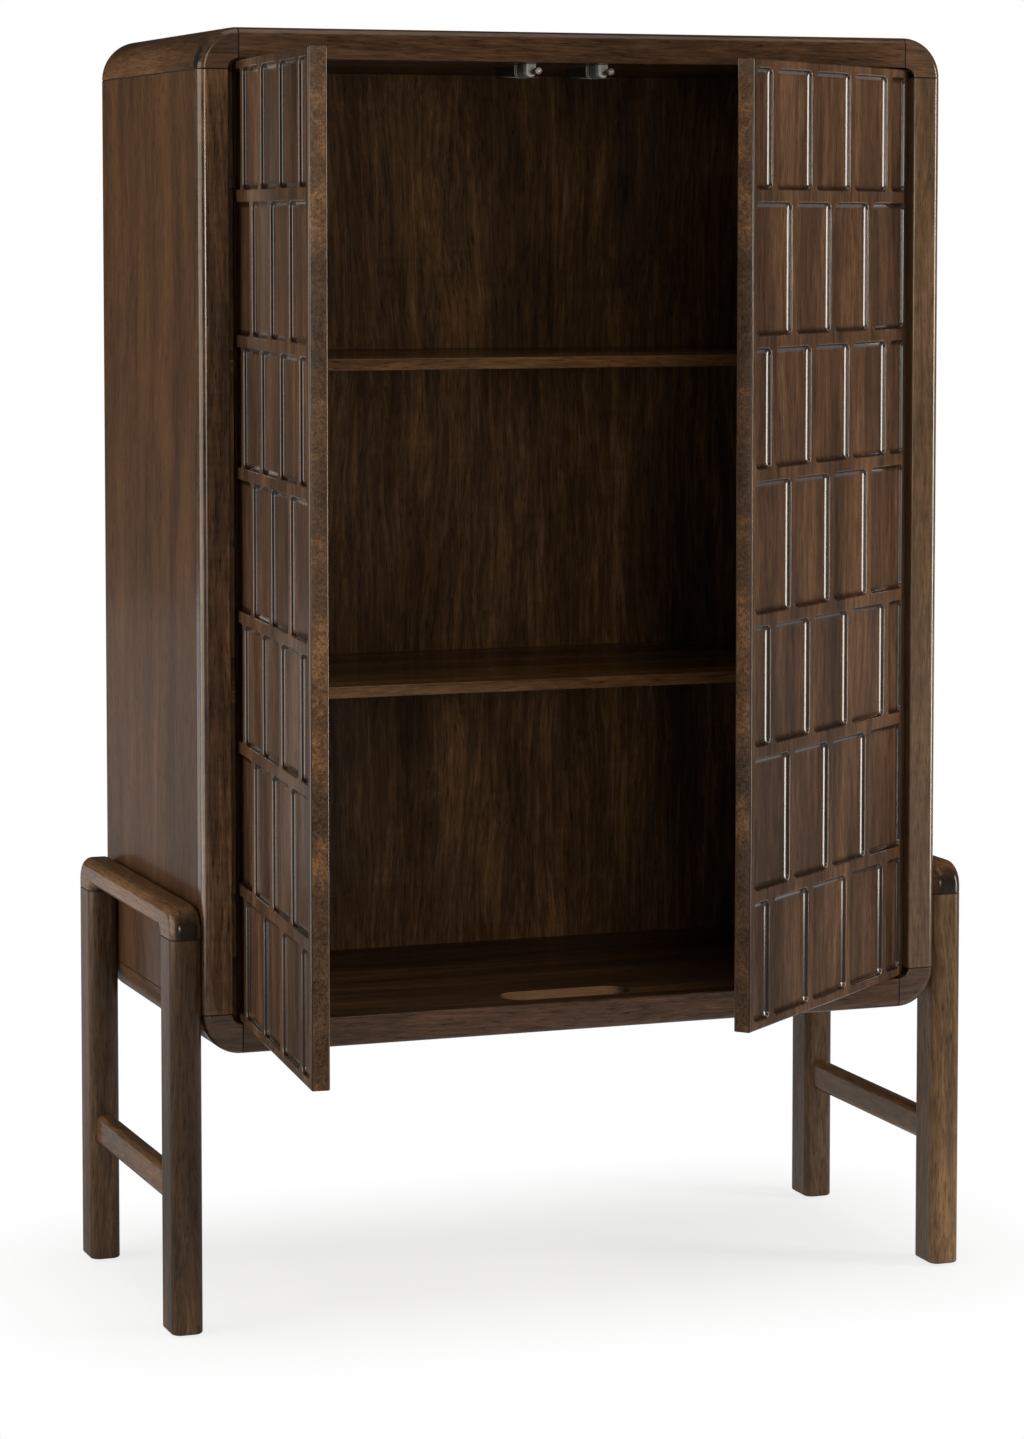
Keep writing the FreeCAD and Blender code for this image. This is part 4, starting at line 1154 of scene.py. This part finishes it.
def glaze_and_shade_at(depth):
    """How much dark glaze and painted shade lie at a depth below the face."""
    if depth > 2 * floor_depth:
        return 0.0
    if depth > floor_depth:
        return FLOOR_GLAZE_AND_SHADE
    if depth < lip_depth:
        return max(0.0, depth / lip_depth)
    return max(FLOOR_GLAZE_AND_SHADE, min(1.0, (floor_depth - depth) / (floor_depth - foot_depth)) ** 0.5)


print("glaze at the foot", round(glaze_and_shade_at(foot_depth), 2), "and on the floor", glaze_and_shade_at(floor_depth))

# %% [markdown]
# ## Carved doors
# Now the blank goes through the carving tree, with round bores in its back for the hinge cups. The
# free edge gets its own finish, the glaze and painted shade are brushed in by depth, and the door is
# swung to where it rests. The cutters have then done their work and are thrown away.

# %% Carved doors
CUP_RADIUS, CUP_DEPTH, CUP_SEGMENTS = 0.0201, 0.0151, 40
FREE_EDGE = 1e-4
FACE, EDGE = range(2)

bore = turned([(CUP_RADIUS, -OVERCUT), (CUP_RADIUS, CUP_DEPTH)], CUP_SEGMENTS)
bore.transform(Matrix.Rotation(math.pi / 2, 4, "X"))
cutters["Cup bore"] = tool("cup_bore", bore)
for side in SIDES:
    low, high = closed_box(side)
    middle = (low + high) / 2
    cups = [(a + b) / 2 for a, b in islands(side + "_hinge_cups", hang(side).inverted())]
    blank = tool(side + "_door_blank", door_blank(low, high, side == "left"))
    finishes = door_finishes(side)
    values = {**cutters, "Pitch": pitch, "Row step": row_step, "Finish": finishes[FACE]}
    values["Face middle"] = (middle.x, low.y, middle.z)
    values["Lowest cup"] = (cups[0].x, high.y, cups[0].z)
    values["Cup spread"] = cups[1].z - cups[0].z
    shape = bmesh.new()
    shape.from_mesh(run_tree(blank, carving, values))
    bpy.data.objects.remove(blank)
    # Dark glaze and painted shade, set by depth in the carving.
    glaze = shape.verts.layers.float.new("glaze")
    for corner in shape.verts:
        corner[glaze] = glaze_and_shade_at(corner.co.y - low.y)
    free_edge = high.x if side == "left" else low.x
    for face in shape.faces:
        on_edge = all(abs(corner.co.x - free_edge) < FREE_EDGE for corner in face.verts)
        face.material_index = EDGE if on_edge else FACE
    shape.transform(hang(side))
    door = make_piece(
        f"carved_{side}_door", shape, finishes, f"{side}_door_leaf", [f"{side}_door"]
    )
    print(door.name, len(door.data.polygons), "faces")
for cutter in cutters.values():
    bpy.data.objects.remove(cutter)

# %% [markdown]
# ## Metal and plastic
# The fittings are small, but they catch the light. Their finishes share one group, which draws fine
# scratches in a base colour and makes the dull spots of handled metal. Clean metal would be
# simpler, but it looks like a drawing beside the wood.

# %% Worn metal group
SCRATCH_PATCHES, SPOT_PATCHES = (180.0, 180.0, 2600.0), (160.0, 160.0, 160.0)
WEAR_DETAIL, WEAR_ROUGHNESS = 3.0, 0.6
SCRATCH_FROM, SCRATCH_TO = 0.35, 0.7
SCRATCH_SHARE, SCRATCH_DULL = 0.3, 0.12
SPOT_DULL = (-0.06, 0.1)
METAL_INPUTS = [
    ("Vector", "NodeSocketVector", None),
    ("Base", "NodeSocketColor", shade(190, 188, 184)),
    ("Polish", "NodeSocketFloat", 0.3),
    ("Scratches", "NodeSocketFloat", 0.5),
]

worn_metal = bpy.data.node_groups.new("worn_metal", "ShaderNodeTree")
given = group_sockets(worn_metal, METAL_INPUTS, SURFACE_OUTPUTS)
tree = worn_metal
scratch, spots = (
    mottle(tree, stretch(tree, given["Vector"], patches), WEAR_DETAIL, WEAR_ROUGHNESS).outputs[0]
    for patches in (SCRATCH_PATCHES, SPOT_PATCHES)
)
marks = sum_up(tree, "MULTIPLY", remap(tree, scratch, SCRATCH_FROM, SCRATCH_TO), given["Scratches"])
share = sum_up(tree, "MULTIPLY", marks, SCRATCH_SHARE)
colour = mix_colour(tree, share, given["Base"], shade(110, 108, 104))
dull = sum_up(tree, "ADD", given["Polish"], remap(tree, spots, NOISE_LOW, NOISE_HIGH, *SPOT_DULL))
dull = sum_up(tree, "ADD", dull, sum_up(tree, "MULTIPLY", marks, SCRATCH_DULL))
put(tree, "NodeGroupOutput", {"Color": colour, "Roughness": dull, "Height": scratch})
print("worn_metal has", len(tree.nodes), "nodes")

# %% [markdown]
# ## Fittings finishes
# The hinges are dark nickel, the screws are zinc, and the latches are moulded in several greys round
# a bright steel plunger, one grey being a painted highlight on the edges of the latch box. Metal
# and plastic differ in one number, so one helper makes both.

# %% Fittings finishes
SCRATCH_RELIEF, SCRATCH_DEPTH = 0.15, 0.0001
METAL, PLASTIC = 1.0, 0.0


def fitting_finish(name, metallic, **values):
    finish, tree = bare_material(name)
    worn = put(tree, "ShaderNodeGroup", node_tree=worn_metal)
    tree.links.new(put(tree, "ShaderNodeTexCoord").outputs["Object"], worn.inputs["Vector"])
    for label, value in values.items():
        worn.inputs[label].default_value = value
    feeds = {"Height": worn.outputs["Height"], "Strength": SCRATCH_RELIEF, "Distance": SCRATCH_DEPTH}
    relief = put(tree, "ShaderNodeBump", feeds)
    feeds = {"Base Color": worn.outputs["Color"], "Roughness": worn.outputs["Roughness"]}
    feeds.update({"Metallic": metallic, "Normal": relief.outputs[0]})
    surface = put(tree, "ShaderNodeBsdfPrincipled", feeds)
    put(tree, "ShaderNodeOutputMaterial", {"Surface": surface.outputs[0]})
    return finish


FITTINGS = {
    "nickel": fitting_finish("hinge_nickel", METAL, Base=shade(72, 69, 66), Polish=0.34),
    "zinc": fitting_finish("screw_zinc", METAL, Base=shade(178, 178, 176), Polish=0.36),
    "bright": fitting_finish("plunger_steel", METAL, Base=shade(222, 220, 216), Polish=0.22),
}
PLASTICS = {
    "grey": ("latch_grey", (104, 106, 107), 0.4, 0.9),
    "dark": ("latch_dark", (34, 30, 27), 0.38, 0.2),
    # The rim grey is a painted highlight on the latch box's rounded edges.
    "edge_highlight": ("latch_rim", (128, 128, 125), 0.35, 0.3),
    "pale": ("latch_pale", (186, 190, 190), 0.34, 0.5),
    "nylon": ("glide_nylon", (40, 36, 33), 0.5, 0.1),
}
for kind, (name, base, polish, scratches) in PLASTICS.items():
    values = {"Base": shade(*base), "Polish": polish, "Scratches": scratches}
    FITTINGS[kind] = fitting_finish(name, PLASTIC, **values)
print(len(FITTINGS), "fittings finishes")

# %% [markdown]
# ## Screws, bolts and glides
# The same fixing repeats many times, so each kind is turned once and a node tree sets copies on the
# seats that the CAD gives. Each head is spun by its own seeded amount, as screws stop where they
# bite.

# %% Fixings tree
def fixings_tree():
    """Geometry Nodes: cut the driver's recess, set the fixing on every point and spin each one."""
    tree = bpy.data.node_groups.new("fixings_on_seats", "GeometryNodeTree")
    inputs = [
        ("Geometry", "NodeSocketGeometry", None),
        ("Fixing", "NodeSocketObject", None),
        ("Recess", "NodeSocketObject", None),
        ("Head turn", "NodeSocketVector", None),
        ("Seed", "NodeSocketInt", None),
        ("Finish", "NodeSocketMaterial", None),
    ]
    given = group_sockets(tree, inputs, [("Geometry", "NodeSocketGeometry")])
    fixing = put(tree, "GeometryNodeObjectInfo", {"Object": given["Fixing"]}).outputs["Geometry"]
    recess = put(tree, "GeometryNodeObjectInfo", {"Object": given["Recess"]}).outputs["Geometry"]
    feeds = {"Mesh 1": fixing}
    drive = put(tree, "GeometryNodeMeshBoolean", feeds, operation="DIFFERENCE", solver="EXACT")
    tree.links.new(recess, drive.inputs["Mesh 2"])
    feeds = {"Points": given["Geometry"], "Instance": drive.outputs["Mesh"]}
    feeds["Rotation"] = given["Head turn"]
    placed = put(tree, "GeometryNodeInstanceOnPoints", feeds).outputs[0]
    feeds = {2: 0.0, 3: 2 * math.pi, "Seed": given["Seed"]}
    spin = put(tree, "FunctionNodeRandomValue", feeds, data_type="FLOAT").outputs[1]
    spin = put(tree, "ShaderNodeCombineXYZ", {"Z": spin}).outputs[0]
    feeds = {"Instances": placed, "Rotation": spin}
    placed = put(tree, "GeometryNodeRotateInstances", feeds).outputs[0]
    end_tree(tree, placed, given["Finish"])
    return tree


fixings = fixings_tree()
print("fixings_on_seats has", len(fixings.nodes), "nodes")

# %% [markdown]
# ## Turned fixings
# A screw, a bolt and a glide are all turned shapes, so each is a profile spun round its axis. The
# top of the head is at the origin and the shank points down Z, so a pattern can be set on a seat
# without being measured. The rows below go from the tip to the top.

# %% Turned fixings
SCREW_HEAD, SCREW_SHANK, SCREW_HEAD_RISE, SCREW_BITE = 0.0035, 0.00175, 0.0015, 0.012
BOLT_HEAD, BOLT_SHANK, BOLT_HEAD_RISE, BOLT_BITE = 0.008, 0.004, 0.005, 0.060
GLIDE_RADIUS, GLIDE_RISE, GLIDE_SEGMENTS = 0.012, 0.003, 40

screw_profile = [
    (SCREW_SHANK * 0.3, -SCREW_HEAD_RISE - SCREW_BITE),
    (SCREW_SHANK, -SCREW_HEAD_RISE - SCREW_BITE * 0.8),
    (SCREW_SHANK, -SCREW_HEAD_RISE),
    (SCREW_HEAD, -SCREW_HEAD_RISE),
    (SCREW_HEAD, -SCREW_HEAD_RISE * 0.72),
    (SCREW_HEAD * 0.88, -SCREW_HEAD_RISE * 0.28),
    (SCREW_HEAD * 0.62, 0.0),
]
bolt_profile = [
    (BOLT_SHANK * 0.8, -BOLT_BITE),
    (BOLT_SHANK, -BOLT_BITE + BOLT_SHANK * 0.2),
    (BOLT_SHANK, -BOLT_HEAD_RISE),
    (BOLT_HEAD, -BOLT_HEAD_RISE),
    (BOLT_HEAD, -BOLT_HEAD_RISE * 0.1),
    (BOLT_HEAD * 0.93, 0.0),
]
glide_profile = [
    (GLIDE_RADIUS * 0.96, -GLIDE_RISE),
    (GLIDE_RADIUS, -GLIDE_RISE * 0.8),
    (GLIDE_RADIUS, -GLIDE_RISE * 0.5),
    (GLIDE_RADIUS * 0.9, -GLIDE_RISE * 0.12),
    (GLIDE_RADIUS * 0.78, 0.0),
]
PATTERNS = {
    "screw": tool("screw_pattern", turned(screw_profile)),
    "bolt": tool("bolt_pattern", turned(bolt_profile)),
    "glide": tool("glide_pattern", turned(glide_profile, GLIDE_SEGMENTS)),
}
print("turned", ", ".join(PATTERNS))

# %% [markdown]
# ## Recesses
# Screws have a tapered cross for the driver, bolts have a hexagon, and the nylon glides under the
# feet are dimpled where a nail holds them. They are cut as real hollows, because a driver's
# recess is the one thing that makes a small disc read as a screw.

# %% Recesses
CROSS_TAPER = ((0.25, 1.08), (0.0, 1.0), (-1.0, 0.55))
CROSS_REACH, CROSS_ARM, CROSS_DEPTH = SCREW_HEAD * 0.6, SCREW_SHANK * 0.24, SCREW_HEAD_RISE * 0.8
HEXAGON_RADIUS, HEXAGON_TOP, HEXAGON_DEPTH = 0.0029, 0.001, 0.003
NAIL_RADIUS, NAIL_TOP, NAIL_DEPTH, NAIL_SEGMENTS = 0.0024, 0.0005, 0.0008, 20


def cross_recess(reach, arm, depth):
    """A tapered cross for a driver."""
    rings = []
    for level, scale in CROSS_TAPER:
        r, a = reach * scale, arm * scale
        cross = [(r, -a), (r, a), (a, a), (a, r), (-a, r), (-a, a)]
        cross += [(-x, -y) for x, y in cross]
        rings.append([(x, y, depth * level) for x, y in cross])
    return loft(rings)


hexagon = turned([(HEXAGON_RADIUS, HEXAGON_TOP), (HEXAGON_RADIUS, -HEXAGON_DEPTH)], 6)
nail = turned([(NAIL_RADIUS, NAIL_TOP), (NAIL_RADIUS, -NAIL_DEPTH)], NAIL_SEGMENTS)
PATTERNS["cross"] = tool("cross_pattern", cross_recess(CROSS_REACH, CROSS_ARM, CROSS_DEPTH))
PATTERNS["hexagon"] = tool("hexagon_pattern", hexagon)
PATTERNS["nail"] = tool("nail_pattern", nail)
print("patterns:", ", ".join(PATTERNS))

# %% [markdown]
# ## Fixings on their seats
# A seat is the outer end of a solid in the CAD node. The screws in the hinge cups sit on doors that
# are turned at rest, so they are set out on the closed door and swung with it.

# %% Fixings on their seats
HEADINGS = {
    "+X": (0, math.pi / 2, 0),
    "-X": (0, -math.pi / 2, 0),
    "+Y": (-math.pi / 2, 0, 0),
    "-Z": (math.pi, 0, 0),
}
FIXINGS = {
    "screw": ("cross", FITTINGS["zinc"], "screw_steel"),
    "bolt": ("hexagon", FITTINGS["zinc"], "screw_steel"),
    "glide": ("nail", FITTINGS["nylon"], "glide_nylon"),
}
BACK_SEED, ARM_SEED, CUP_SEED, BOLT_SEED, GLIDE_SEED = 3, 11, 21, 31, 41


def fix_all(node, kind, heading, seed, body="case", turn=Matrix()):
    """Set a fixing on the outer end of each solid in a CAD node; turn lays it on a turned door."""
    recess, finish, slot = FIXINGS[kind]
    axis = "XYZ".index(heading[1])
    points = []
    for low, high in islands(node, turn.inverted()):
        seat = (low + high) / 2
        seat[axis] = high[axis] if heading[0] == "+" else low[axis]
        points.append(seat)
    mesh = bpy.data.meshes.new(node + "_seats")
    mesh.from_pydata(points, [], [])
    holder = bpy.data.objects.new(node + "_seats", mesh)
    scene.collection.objects.link(holder)
    values = {"Fixing": PATTERNS[kind], "Recess": PATTERNS[recess], "Head turn": HEADINGS[heading]}
    values.update({"Seed": seed, "Finish": finish})
    shape = bmesh.new()
    shape.from_mesh(run_tree(holder, fixings, values))
    bpy.data.objects.remove(holder)
    shape.transform(turn)
    make_piece("driven_" + node, shape, [finish], body, [node])
    return len(points)


count = fix_all("back_screws", "screw", "+Y", BACK_SEED)
for index, (side, inward) in enumerate(zip(SIDES, ("+X", "-X"))):
    leaf = side + "_door_leaf"
    count += fix_all(side + "_hinge_arm_screws", "screw", inward, ARM_SEED + index)
    count += fix_all(side + "_hinge_cup_screws", "screw", "+Y", CUP_SEED + index, leaf, hang(side))
    count += fix_all(side + "_leg_bolts", "bolt", inward, BOLT_SEED + index)
    count += fix_all(side + "_foot_glides", "glide", "-Z", GLIDE_SEED + index)
for pattern in PATTERNS.values():
    bpy.data.objects.remove(pattern)
print(count, "fixings set")

# %% [markdown]
# ## Hinges and shelf supports
# Pressed steel never has knife edges, so the hinge arms, cups and pins and the shelf supports are
# eased copies of the CAD. A quarter of a millimetre is enough to give each edge its thin glint.

# %% Hinges and shelf supports
STEEL_EASE = 0.00025
for side in SIDES:
    leaf = side + "_door_leaf"
    for name, body in (("hinge_arms", "case"), ("hinge_cups", leaf), ("hinge_pins", leaf)):
        node = f"{side}_{name}"
        shape = eased_copy(node, STEEL_EASE)
        make_piece("pressed_" + node, shape, [FITTINGS["nickel"]], body, [node])
for name in ("upper_shelf_supports", "lower_shelf_supports"):
    shape = eased_copy(name, STEEL_EASE)
    make_piece("pressed_" + name, shape, [FITTINGS["nickel"]], "case", [name])
print("hinges and supports eased")

# %% [markdown]
# ## Latches
# A push latch under the top panel serves each door. Its housing is one solid in the CAD, but it
# reads as several parts: a pale collar in front, a grey sleeve, and a dark box at the rear whose
# rounded edges get a paler grey as a painted highlight. Slicing the copy at the seams lets each part
# take its own finish without a gap. The steel plunger and the strike on the door are eased copies.

# %% Latches
LATCH_EASE = 0.0007
COLLAR_END, SLEEVE_END = 0.010, 0.030
SLEEVE, BOX, EDGE_HIGHLIGHT, COLLAR = range(4)
LATCH_FINISHES = [FITTINGS[name] for name in ("grey", "dark", "edge_highlight", "pale")]


def latch_shape(node):
    """The housing with its pale collar, grey sleeve, dark rear box and a painted highlight on the
    box's edges.
    """
    shape = merged_copy(node)
    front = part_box(node)[0].y
    collar_end, sleeve_end = front + COLLAR_END, front + SLEEVE_END
    for place in (collar_end, sleeve_end):
        everything = shape.verts[:] + shape.edges[:] + shape.faces[:]
        bmesh.ops.bisect_plane(
            shape, geom=everything, dist=MERGE, plane_co=(0, place, 0), plane_no=(0, 1, 0)
        )
    for face in shape.faces:
        middle = face.calc_center_median().y
        face.material_index = COLLAR
        if middle > collar_end:
            face.material_index = BOX if middle > sleeve_end else SLEEVE
    rims = []
    for edge in shape.edges:
        rear = min(corner.co.y for corner in edge.verts) > sleeve_end - ON_PLANE
        if rear and is_hard(edge):
            rims.append(edge)
    # The rear box's rounded edges take the paler grey, a painted highlight.
    bmesh.ops.bevel(
        shape, geom=rims, offset=LATCH_EASE, segments=2, profile=0.5, affect="EDGES", material=EDGE_HIGHLIGHT
    )
    return shape


for side in SIDES:
    node = side + "_latch_housing"
    shape = latch_shape(node)
    make_piece(f"moulded_{side}_latch", shape, LATCH_FINISHES, "case", [node])
    node = side + "_latch_plunger"
    shape = eased_copy(node, STEEL_EASE)
    body = side + "_plunger"
    make_piece("polished_" + body, shape, [FITTINGS["bright"]], body, [node])
    node = side + "_strike"
    shape = eased_copy(node, STEEL_EASE)
    leaf = side + "_door_leaf"
    make_piece("pressed_" + node, shape, [FITTINGS["nickel"]], leaf, [node])
print("latches done")
